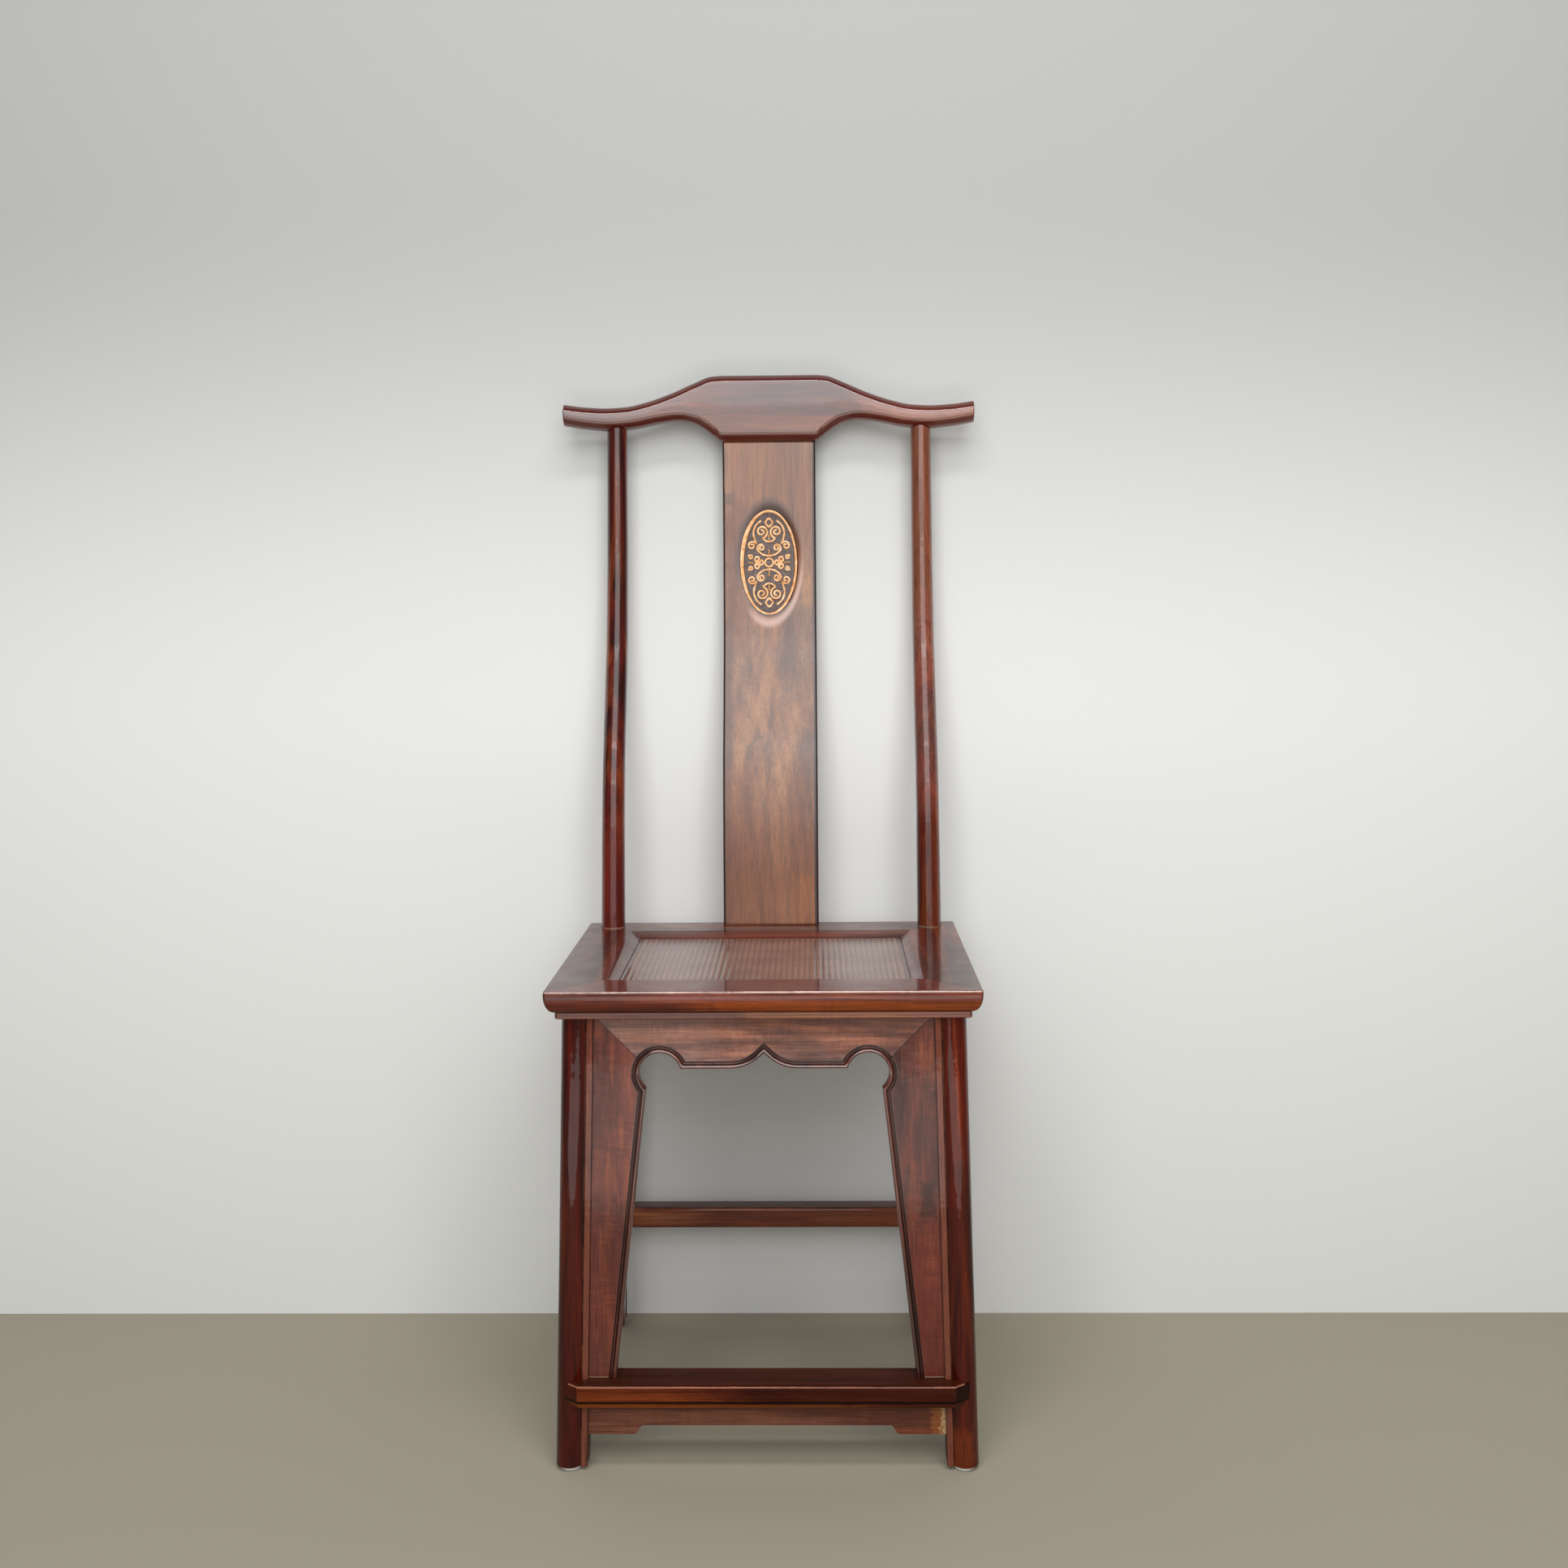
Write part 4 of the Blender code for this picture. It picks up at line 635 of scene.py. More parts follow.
medallion = {
    "middleX": -0.0008, "middleZ": 0.9318, "halfWidth": 0.0326, "halfHeight": 0.0618,
    "rim": 0.0017, "rimPoints": 96, "rimSwell": 0.0011, "swellAt": 165, "ring": 0.0050, "ringPoints": 32,
    "stroke": 0.00142, "height": 0.0008,
    "scrolls": (                       # middle, first and last radius, first angle and turns, in mm and degrees
        (8.8, 37.5, 8.2, 1.6, 262, -1.55), (20.6, 20.5, 5.6, 1.3, 160, -1.35), (9.6, 18.0, 5.4, 1.3, 300, 1.45),
        (14.0, 4.4, 4.6, 1.4, 190, 1.30), (22.5, 6.6, 3.0, 1.0, 20, 1.15),
    ),
    "stems": (                         # bent lines through these places, in mm
        ((7.4, 29.3), (4.6, 26.6), (2.0, 25.4), (0.0, 25.2)), ((0.0, 53.6), (3.2, 50.2), (4.0, 47.4), (0.0, 42.6)),
        ((15.3, 22.6), (17.6, 29.4), (18.6, 36.4), (15.8, 44.6), (9.4, 50.6)),
        ((12.3, 13.3), (8.4, 10.2), (4.2, 8.6), (0.0, 8.2)), ((0.0, 16.6), (0.0, 8.2)), ((0.0, 34.0), (0.0, 25.2)),
        ((9.5, 3.4), (6.4, 0.0)), ((18.4, 0.0), (25.6, 0.0)),
    ),
}


def scrollPoints(x, z, firstRadius, lastRadius, firstAngle, turns):
    points, steps = [], 30
    for step in range(steps + 1):
        share = step / steps
        radius = firstRadius + (lastRadius - firstRadius) * share ** 0.8
        angle = math.radians(firstAngle + 360 * turns * share)
        points.append((x + radius * math.cos(angle), z + radius * math.sin(angle)))
    return points


def bentLine(places):
    # a smooth line through a few places
    points, steps = [], 6
    for i in range(len(places) - 1):
        before, start, end, after = (places[min(max(j, 0), len(places) - 1)] for j in (i - 1, i, i + 1, i + 2))
        for step in range(steps):
            t = step / steps
            points.append(tuple(0.5 * (2 * b + (c - a) * t + (2 * a - 5 * b + 4 * c - d) * t * t
                                       + (3 * b - a - 3 * c + d) * t ** 3)
                                for a, b, c, d in zip(before, start, end, after)))
    return points + [places[-1]]


def addStroke(curve, points, radii, closed=False):
    spline = curve.splines.new('POLY')
    spline.points.add(len(points) - 1)
    for point, place, radius in zip(spline.points, points, radii):
        point.co = (place[0], place[1], 0.0, 1.0)
        point.radius = radius
    spline.use_cyclic_u = closed


def ovalPoints(halfWidth, halfHeight, count):
    angles = [2 * math.pi * step / count for step in range(count)]
    return [(halfWidth * math.cos(angle), halfHeight * math.sin(angle)) for angle in angles]


def buildMedallion():
    size = medallion
    curve = bpy.data.curves.new("medallion lines", 'CURVE')
    curve.dimensions = '3D'
    curve.bevel_depth = 1.0
    curve.bevel_resolution = 2
    curve.use_fill_caps = True
    rim = ovalPoints(size["halfWidth"], size["halfHeight"], size["rimPoints"])
    radii = []
    for step in range(size["rimPoints"]):
        angle = 2 * math.pi * step / size["rimPoints"]
        swell = max(math.cos(angle - math.radians(size["swellAt"])), 0.0) ** 2
        swell += 0.4 * noise.noise(Vector((3 * angle, 1.7, 0.4)))
        radii.append(size["rim"] + size["rimSwell"] * swell)
    addStroke(curve, rim, radii, closed=True)
    lines = [scrollPoints(*scroll) for scroll in size["scrolls"]] + [bentLine(stem) for stem in size["stems"]]
    for line in lines:
        for mirrorX, mirrorZ in ((1, 1), (1, -1), (-1, 1), (-1, -1)):
            points = [(x * mirrorX * 0.001, z * mirrorZ * 0.001) for x, z in line]
            radii = [size["stroke"] * (1.0 + 0.12 * math.sin(0.9 * i)) for i in range(len(points))]
            addStroke(curve, points, radii)
    addStroke(curve, ovalPoints(size["ring"], size["ring"], size["ringPoints"]),
              [size["stroke"]] * size["ringPoints"], closed=True)
    lineObject = bpy.data.objects.new("medallion lines", curve)
    data = bpy.data.meshes.new_from_object(lineObject)
    bpy.data.objects.remove(lineObject)
    mesh = bmesh.new()
    mesh.from_mesh(data)
    bmesh.ops.recalc_face_normals(mesh, faces=mesh.faces[:])
    for vert in mesh.verts:
        x, up, out = vert.co
        out = min(out, size["height"])     # flat tops, as a carver's chisel leaves them
        x, z = x + size["middleX"], up + size["middleZ"]
        vert.co = (x, splatFace(z) + dishDepthAt(x, z) - out, z)
    bmesh.ops.recalc_face_normals(mesh, faces=mesh.faces[:])
    return mesh


# Woven mat of the seat

seatMat = {
    "ribs": 0.0063, "strands": 0.0080, "relief": 0.00027, "sag": 0.0002, "border": 0.001,
    "ribShare": 0.55, "strandShare": 0.25, "sagScale": 14, "stepAcross": 0.0011, "stepAlong": 0.0024,
    "valley": "#44251a", "strand": "#75493a", "worn": "#8c604c", "edge": "#4a2015",
    "specular": 0.3, "coat": 0.95, "coatRoughness": 0.08,
}


def buildSeatMat():
    low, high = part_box("seat_mat")
    mesh = bmesh.new()
    across, along = round((high.x - low.x) / seatMat["stepAcross"]), round((high.y - low.y) / seatMat["stepAlong"])
    bmesh.ops.create_grid(mesh, x_segments=across, y_segments=along, size=0.5)
    bmesh.ops.scale(mesh, vec=(high.x - low.x, high.y - low.y, 1.0), verts=mesh.verts[:])
    bmesh.ops.translate(mesh, vec=((high.x + low.x) / 2, (high.y + low.y) / 2, high.z), verts=mesh.verts[:])
    rim = [edge for edge in mesh.edges if edge.is_boundary]
    for vert in mesh.verts:
        x, y, z = vert.co
        edge = min(x - low.x, high.x - x, y - low.y, high.y - y)
        if edge < seatMat["border"]:
            continue
        rib = math.cos(2 * math.pi * x / seatMat["ribs"])
        strand = math.cos(2 * math.pi * (y / seatMat["strands"] + 0.5 * round(x / seatMat["ribs"])))
        lift = (seatMat["ribShare"] * (rib - 1) + seatMat["strandShare"] * (strand - 1)) * seatMat["relief"]
        sag = noise.noise(Vector((x * seatMat["sagScale"], y * seatMat["sagScale"], 0.3))) * seatMat["sag"]
        vert.co.z = z + lift + sag - seatMat["sag"]
    lower = bmesh.ops.extrude_edge_only(mesh, edges=rim)["geom"]
    for vert in lower:
        if isinstance(vert, bmesh.types.BMVert):
            vert.co.z = low.z
    bmesh.ops.holes_fill(mesh, edges=[edge for edge in mesh.edges if edge.is_boundary], sides=0)
    bmesh.ops.recalc_face_normals(mesh, faces=mesh.faces[:])
    return mesh


print("helpers ready")


# Finishes of this chair's own pieces

crestLook = {
    "steps": ((0.30, "#3e160e"), (0.44, "#562517"), (0.58, "#6c3723"), (0.72, "#864c34")),
    "bandAcross": 34.0, "bandAlong": 4.0, "warm": "#8a4222", "warmAmount": 0.40, "dark": "#260c09",
    "darkAmount": 0.45, "fibre": 0.16, "wear": "#3c130c", "wearAndPaintedSheenAmount": 0.6, "coatRoughness": 0.09, "coat": 1.0,
    # the last colour below is the painted shade on the chamfers
    "coatIor": 1.78, "specular": 0.25, "paintedShade": "#520c05",
    "zones": zoneRows(
        (0.0, 0.5),
        (0.17, 0.26, 1.05, 1.2, 0.08, 0.1, 0.55, "#b45a2c"),
        (-0.26, 0.26, 1.0, 1.098, 0.1, 0.02, 0.4, "#6e3618"),
        (-0.0521, -0.0514, 1.088, 1.126, 0.0003, 0.006, 0.45, "#2c1410", 1.5, 200.0),
        (-0.26, -0.17, 1.05, 1.2, 0.04, 0.1, 0.35, "#45231e")),
}
splatLook = {
    "steps": ((0.28, "#5a3420"), (0.44, "#7a4c30"), (0.58, "#92603c"), (0.74, "#aa784c")),
    "bandAlong": 1.2, "dark": "#3f2119", "darkAmount": 0.50, "darkAcross": 75.0,
    "darkAlong": 2.4, "warm": "#b0672f", "warmAmount": 0.35, "fibre": 0.20, "wear": "#260807", "wearAndPaintedSheenAmount": 0.95,
    "coatRoughness": 0.23, "wave": 0.24, "coat": 1.0, "coatIor": 1.6,
    "rings": 0.18, "ringMiddle": (0.012, 0.0, 0.50), "ringStretch": (62.0, 20.0, 7.0),
    "ringZone": zoneRows((0.0, 0.5), (-0.1, 0.1, 0.45, 0.72, 0.1, 0.12, 1.0, "")),
    "zones": zoneRows(
        (0.0, 0.5),
        (-0.06, -0.034, 0.94, 1.03, 0.016, 0.05, 0.35, "#80594a"),
        (-0.06, -0.034, 0.86, 0.98, 0.016, 0.05, 0.62, "#66300e"),
        (-0.056, -0.047, 1.006, 1.013, 0.008, 0.006, 0.55, "#463632", 2.6, 80.0),
        (0.018, 0.06, 0.96, 1.08, 0.02, 0.05, 0.35, "#6a4a40"),
        (0.026, 0.056, 0.79, 0.86, 0.02, 0.04, 0.5, "#4a302c"),
        (-0.06, -0.05, 0.5, 0.8, 0.008, 0.08, 0.6, "#4a2014"),
        (-0.045, 0.05, 0.5, 0.62, 0.02, 0.09, 0.5, "#8c4c26"),
        (0.034, 0.052, 0.5, 0.54, 0.014, 0.04, 0.45, "#a8642c"),
        (0.0526, 0.07, 0.48, 1.1, 0.0006, 0.1, 0.97, "#200504", 0.5),
        (-0.07, -0.0545, 0.48, 1.1, 0.0006, 0.1, 0.92, "#2c0b09", 0.5),
        (-0.06, 0.06, 0.49, 0.5012, 0.01, 0.0005, 0.75, "#a98a70", 1.5, 400.0)),
    "oval": {"middleX": -0.0008, "middleZ": 0.9318, "halfWidth": 0.0332, "halfHeight": 0.0624, "stipple": 900.0,
             "low": "#2c1f1f", "ground": "#5c4a48", "high": "#77655f", "outline": "#34150f",
             # the darker colour above the oval is painted shade and the pale one below is a painted highlight
             "dirt": "#361c17", "dirtAmount": 0.85, "rubbedAndPaintedSheen": "#dcb8ac", "rubbedAndPaintedSheenAmount": 0.55},
}
postLook = {
    "steps": ((0.30, "#240605"), (0.46, "#3e0d09"), (0.58, "#56160d"), (0.74, "#7e2d13")),
    "bandAcross": 55.0, "bandAlong": 1.8, "warm": "#a34a18", "warmAmount": 0.45, "dark": "#180504",
    "darkAmount": 0.55, "wearAndPaintedSheenAmount": 0.15, "coatRoughness": 0.05,
    "zones": zoneRows(
        (0.05, 0.3),
        (-0.22, 0.22, 0.49, 0.5009, 0.1, 0.0006, 0.75, "#b3977c", 2.5, 300.0),
        (-0.22, -0.1, 0.45, 0.6, 0.1, 0.1, 0.4, "#7e2418")),
}
rightPostLook = {
    **postLook, "steps": ((0.30, "#300a06"), (0.44, "#52150b"), (0.56, "#6e2210"), (0.72, "#94401a")),
    "warm": "#b05a20", "warmAmount": 0.40,
    "zones": postLook["zones"][:1] + zoneRows(
        (0.0, 0.5),
        (0.1, 0.22, 0.88, 1.1, 0.1, 0.1, 0.42, "#a0664a"),
        (0.1, 0.22, 0.68, 0.84, 0.1, 0.08, 0.36, "#8c5a50"),
        (0.1, 0.22, 0.45, 0.6, 0.1, 0.1, 0.45, "#34100b")),
}
legLook = {
    "steps": ((0.30, "#1c0403"), (0.46, "#360805"), (0.58, "#4c0d07"), (0.74, "#681c0b")),
    "bandAcross": 60.0, "bandAlong": 2.0, "warm": "#8e3a16", "warmAmount": 0.25, "dark": "#160404",
    "darkAmount": 0.5, "wearAndPaintedSheenAmount": 0.10, "coatRoughness": 0.05, "coat": 0.62, "specular": 0.05,
}


paintedStripLight = {
    "lean": 0.02703,                   # outwards, for each metre down
    # the first strip is a painted highlight, the other two are painted shade in the quirks
    "strips": ((0.1718, 0.1776, 0.80, "#7c4636"), (0.1780, 0.1791, 0.90, "#120303"),
               (0.1708, 0.1716, 0.90, "#150404")),
}


def paintedStripLightZones(side):
    # the flat strip down the inner side of a leg gets a painted highlight, between two quirks darkened with painted
    # shade
    lean, top = -side * paintedStripLight["lean"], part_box("front_leg_left")[1].z
    rows = []
    for near, far, amount, colour in paintedStripLight["strips"]:
        low, high = sorted((side * near - lean * top, side * far - lean * top))
        rows.append((low, high, 0.0, 0.5, 0.0002, 0.1, amount, colour, 0.8, 90.0, {"lean": lean}))
    return zoneRows((-0.3, 0.0), *rows)


legLook["zones"] = paintedStripLightZones(-1)
rightLegLook = {
    **legLook, "steps": ((0.30, "#260603"), (0.44, "#440d06"), (0.56, "#5e1708"), (0.72, "#7c2a0f")),
    "warm": "#a8481c", "warmAmount": 0.40,
    "zones": zoneRows(
        (-0.3, 0.0),
        (0.1, 0.26, -0.1, 0.24, 0.1, 0.16, 0.45, "#2c0503"),
        (0.19, 0.208, -0.1, 0.028, 0.006, 0.026, 0.48, "#863810", 2.0, 60.0, {"y": (-0.3, -0.21), "softY": 0.01}),
    ) + paintedStripLightZones(1),
}
seatLook = {
    "steps": ((0.30, "#341009"), (0.46, "#501a10"), (0.58, "#6a2a18"), (0.74, "#8a4022")),
    "bandAcross": 40.0, "bandAlong": 3.0, "wearAndPaintedSheenAmount": 0.20, "coatRoughness": 0.035, "wave": 0.12, "coat": 0.70,
    "specular": 0.08,
    "zones": zoneRows(
        (-0.3, 0.2),
        (-0.26, -0.14, 0.4, 0.52, 0.04, 0.1, 0.4, "#340c05")),
}
seatFrontLook = {
    **seatLook,
    "steps": ((0.28, "#4a1c15"), (0.44, "#6a3126"), (0.56, "#844638"), (0.72, "#a0604a")),
    "curl": 0.10, "wearAndPaintedSheenAmount": 0.0, "fibre": 0.30, "lines": 0.5,
    "zones": zoneRows(
        (-0.5, -0.1),
        (-0.3, -0.03, 0.477, 0.4866, 0.06, 0.003, 0.85, "#561d0c", 1.2),
        (-0.03, 0.3, 0.477, 0.4872, 0.06, 0.003, 0.88, "#8c3e0c", 1.2),
        (-0.3, 0.3, 0.4993, 0.52, 0.1, 0.0005, 1.0, "#641f10", 0.3, 60.0, {"y": (-0.5, 0.0)}),
        # a painted highlight along the top front arris
        (-0.3, 0.3, 0.4984, 0.4994, 0.1, 0.0003, 0.85, "#e0c4b8", 3.2, 150.0, {"y": (-0.5, -0.208), "softY": 0.004}),
        # a dark line of painted shade in the crease above the strip
        (-0.3, 0.3, 0.4762, 0.4779, 0.1, 0.0005, 0.96, "#140402", 0.6),
        (-0.3, 0.0, 0.469, 0.4762, 0.06, 0.0006, 0.8, "#643627"),
        (0.0, 0.142, 0.469, 0.4762, 0.04, 0.0006, 0.85, "#94552c"),
        (0.145, 0.3, 0.469, 0.4762, 0.002, 0.0006, 0.8, "#8a4c38"),
        (-0.3, 0.3, 0.4729, 0.4735, 0.1, 0.0003, 0.6, "#3a1710", 1.0, 200.0)),
}
apronLook = {
    "steps": ((0.28, "#46221b"), (0.42, "#6c3b2e"), (0.55, "#8e5644"), (0.70, "#b07258")),
    "bandAcross": 75.0, "bandAlong": 7.0, "bandWarp": 0.5, "dark": "#2c1512", "darkAmount": 0.5, "darkAcross": 40.0,
    "darkAlong": 6.0, "warm": "#b0663c", "warmAmount": 0.45, "warmAcross": 90.0, "warmAlong": 9.0,
    "blotch": "#3a2622", "blotchAmount": 0.45, "blotchAcross": 18.0, "blotchAlong": 10.8,
    "curl": 0.16, "curlAcross": 60.0, "curlAlong": 260.0, "fibre": 0.20, "wear": "#30100c", "wearAndPaintedSheenAmount": 0.85,
    "coatRoughness": 0.10, "roughness": 0.42, "coat": 1.0, "coatIor": 1.66,
    "zones": zoneRows(
        (-0.3, 0.0),
        (-0.24, -0.08, 0.35, 0.5, 0.06, 0.1, 0.35, "#a07e74")),
}
spandrelLook = {
    **apronLook, "steps": ((0.28, "#361612"), (0.42, "#50241d"), (0.55, "#6a3328"), (0.70, "#884a3a")),
    "bandAcross": 26.0, "bandAlong": 6.0, "warm": "#a8552f", "warmAmount": 0.30, "blotchAmount": 0.38,
    "darkAmount": 0.35, "curl": 0.22, "curlAcross": 34.0, "curlAlong": 200.0,
    "coat": 0.54, "coatIor": 1.5,
    "zones": zoneRows(
        (-0.3, -0.1),
        (-0.3, 0.3, 0.09, 0.2, 0.1, 0.1, 0.4, "#5c241c"),
        (0.1, 0.3, 0.09, 0.24, 0.04, 0.08, 0.24, "#8a3420"),
        (0.161, 0.17, 0.268, 0.292, 0.006, 0.014, 0.6, "#1c0907", 2.6, 120.0),
        (-0.3, 0.3, 0.08, 0.0968, 0.1, 0.0005, 0.65, "#b09478", 2.2, 300.0)),
}
mouldingLook = {
    "steps": ((0.28, "#2e0e0a"), (0.44, "#481b13"), (0.58, "#622c20"), (0.74, "#824632")),
    "warm": "#8a4426", "warmAmount": 0.3, "wearAndPaintedSheenAmount": 0.0, "coat": 1.0, "coatRoughness": 0.035, "wave": 0.06,
    "coatIor": 1.85,
}
railLook = {
    "steps": ((0.28, "#2c0c08"), (0.44, "#4a170e"), (0.58, "#662a14"), (0.74, "#8a441e")),
    # the lighter arris colour below is partly wear and partly a painted highlight
    "bandAcross": 45.0, "bandAlong": 2.6, "dark": "#1c0706", "wear": "#8a4c34", "wearAndPaintedSheenAmount": 0.30,
    "specular": 0.08, "coat": 0.35,
}
stretcherLook = {
    **railLook, "steps": ((0.28, "#48201a"), (0.44, "#703a2a"), (0.58, "#92563c"), (0.74, "#b2764c")), "coat": 0.6,
    "zones": zoneRows(
        (0.0, 0.3),
        # the top face is painted darker, as painted shade under the seat
        (-0.3, 0.3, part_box("rear_stretcher")[1].z - 0.0007, 0.3, 0.1, 0.0005, 0.75, "#33140e")),
}
footrailLook = {
    **railLook, "steps": ((0.28, "#3c1409"), (0.44, "#5c240e"), (0.58, "#7a3813"), (0.74, "#98501e")),
    "coat": 0.24, "specular": 0.03, "wearAndPaintedSheenAmount": 0.0, "coatRoughness": 0.05,
    "zones": zoneRows(
        (-0.3, -0.1),
        (0.0, 0.25, 0.07, 0.094, 0.1, 0.0008, 0.86, "#300c08", 1.0, 60.0, {"y": (-0.3, -0.15), "softY": 0.01}),
        (-0.25, -0.1925, 0.06, 0.094, 0.0008, 0.0008, 0.85, "#380d08", 0.6, 60.0, {"softY": 0.01}),
        (0.1925, 0.25, 0.06, 0.094, 0.0008, 0.0008, 0.8, "#160504", 0.6, 60.0, {"softY": 0.01}),
        # the top is painted darker, as painted shade under the seat
        (-0.3, 0.3, 0.0945, 0.1, 0.1, 0.0004, 0.85, "#300d06", 0.5, 60.0, {"y": (-0.3, 0.0)}),
        # a painted highlight along the top front arris
        (-0.2, 0.2, 0.0934, 0.0944, 0.004, 0.0003, 0.5, "#c08068", 2.8, 120.0,
         {"y": (-0.26, -0.224), "softY": 0.0008}),
        # a dark line of painted shade in the quirk above the bead
        (-0.3, 0.3, 0.076, 0.0792, 0.1, 0.0005, 0.92, "#140402", 0.6),
        (-0.3, 0.06, 0.07, 0.0752, 0.08, 0.0008, 0.5, "#7e4218", 3.2),
        (0.06, 0.3, 0.07, 0.0752, 0.08, 0.0008, 0.45, "#62301a", 3.2)),
}
footApronLook = {
    **railLook, "steps": ((0.28, "#30150e"), (0.44, "#4c241a"), (0.58, "#643628"), (0.74, "#7e4e3c")),
    "curl": 0.10, "coatRoughness": 0.12, "coat": 0.6,
    "zones": zoneRows(
        (-0.3, -0.1),
        (0.17, 0.19, 0.03, 0.08, 0.003, 0.01, 0.7, "#945828", 7.0, 300.0),
        (0.18, 0.185, 0.03, 0.08, 0.0025, 0.01, 0.72, "#c6a880", 9.0, 460.0)),
}
innerLook = {
    "steps": ((0.28, "#8c6545"), (0.44, "#a27a55"), (0.58, "#b28a62"), (0.74, "#c49c72")),
    "dark": "#7a5436", "warm": "#c08a55", "coat": 0.0, "roughness": 0.7, "specular": 0.3,
}


def caneFinish():
    finish, tree, shader = startFinish("woven cane")
    place = tree.nodes.new("ShaderNodeTexCoord").outputs["Object"]
    parts = addNode("SeparateXYZ", Vector=place).outputs
    rib = maths('COSINE', times(parts[0], 2 * math.pi / seatMat["ribs"]))
    along = times(parts[1], 2 * math.pi / (seatMat["strands"] / 4))
    strand = times(maths('COSINE', along), 0.35)
    frayed = cloudy(place, scale=420.0, detail=3.0)
    weave = maths('ADD', maths('ADD', rib, strand), remap(frayed, 0.3, 0.7, -0.7, 0.7))
    patch = cloudy(place, scale=16.0, detail=3.0)
    colour = blend(remap(patch, 0.35, 0.65), seatMat["strand"], seatMat["worn"])
    colour = blend(remap(weave, -1.2, 0.3, 0.75, 0.0), colour, seatMat["valley"])
    low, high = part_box("seat_mat")
    inset, softX, softY = Vector((0.006, 0.003, 0.0)), 0.004, 0.003
    low, high = low + inset, high - inset
    inner = (low.x, high.x, low.z - 0.1, high.z + 0.1, softX, 0.1, 1.0, "", 1.5, 60.0, {"softY": softY})
    colour = blend(boxMask(place, zoneRows((low.y, high.y), inner)[0]), seatMat["edge"], colour)
    join(colour, shader.inputs["Base Color"])
    join(remap(frayed, 0.3, 0.7, 0.40, 0.60), shader.inputs["Roughness"])
    height = maths('ADD', times(strand, 0.6), frayed)
    addBump(height, 0.45, 0.0004, shader.inputs["Normal"])
    addBump(height, 0.10, 0.0004, shader.inputs["Coat Normal"])
    setShader(shader, seatMat)
    finish.diffuse_color = paint(seatMat["strand"])
    return finish


def speckledFinish(name, look, colourFrom):
    # a patchy colour, with roughness and bump that follow the same patches
    finish, tree, shader = startFinish(name)
    spot = tree.nodes.new("ShaderNodeTexCoord").outputs
    patch = cloudy(spot["Object"], **look["patch"])
    join(colourFrom(spot, colourSteps(patch, look["steps"])), shader.inputs["Base Color"])
    join(remap(patch, 0.3, 0.7, *look["roughness"]), shader.inputs["Roughness"])
    addBump(patch, *look["bump"], shader.inputs["Normal"])
    setShader(shader, look)
    finish.diffuse_color = paint(look["seenAs"])
    return finish


goldLook = {
    # the sides colour is painted shade down the walls of each stroke
    "steps": ((0.32, "#d89458"), (0.46, "#f4b67c"), (0.60, "#ffca96"), (0.74, "#ffdcb4")), "sides": "#3a160e",
    "patch": {"scale": 160.0, "detail": 4.0}, "roughness": (0.34, 0.50), "bump": (0.4, 0.0003), "seenAs": "#f0b070",
    "specular": 0.35, "coat": 0.3, "coatRoughness": 0.18,
}
glideLook = {
    "steps": ((0.34, "#c4c2ba"), (0.48, "#e4e3de"), (0.62, "#f2f2f0")),
    "patch": {"scale": 260.0, "detail": 5.0, "roughness": 0.65}, "roughness": (0.62, 0.42), "bump": (0.25, 0.0002),
    "seenAs": "#dcdad4",
}


def goldTopsShadedSides(spot, bright):
    # bright on the flat tops that face the front, with painted shade down the sides of each stroke
    facing = addNode("SeparateXYZ", Vector=spot["Normal"]).outputs[1]
    turned = remap(times(facing, -1.0), 0.55, 0.88)
    return blend(turned, goldLook["sides"], bright)


# Every piece in turn

def dressWood(nodeName, look, slotName, grain="z", shift=(0.0, 0.0, 0.0), **more):
    dressNode(nodeName, lacqueredWood(nodeName.replace("_", " ") + " wood", look, grain, shift), slotName, **more)


addPiece("crestRail", buildCrestRail(), lacqueredWood("crest wood", crestLook, "x", (0.3, 0.1, 0.4)),
         "crest_lacquered_wood", "crest_rail")
addPiece("backSplat", buildBackSplat(), lacqueredWood("splat wood", splatLook, "z", (0.1, 0.6, 0.2)),
         "splat_lacquered_wood", "back_splat")
evenNormals(addPiece("medallionScrolls", buildMedallion(), speckledFinish("carved gold", goldLook, goldTopsShadedSides),
                     "splat_lacquered_wood"))
addPiece("seatMat", buildSeatMat(), caneFinish(), "woven_cane", "seat_mat")
print("crest rail, splat, medallion and mat built")

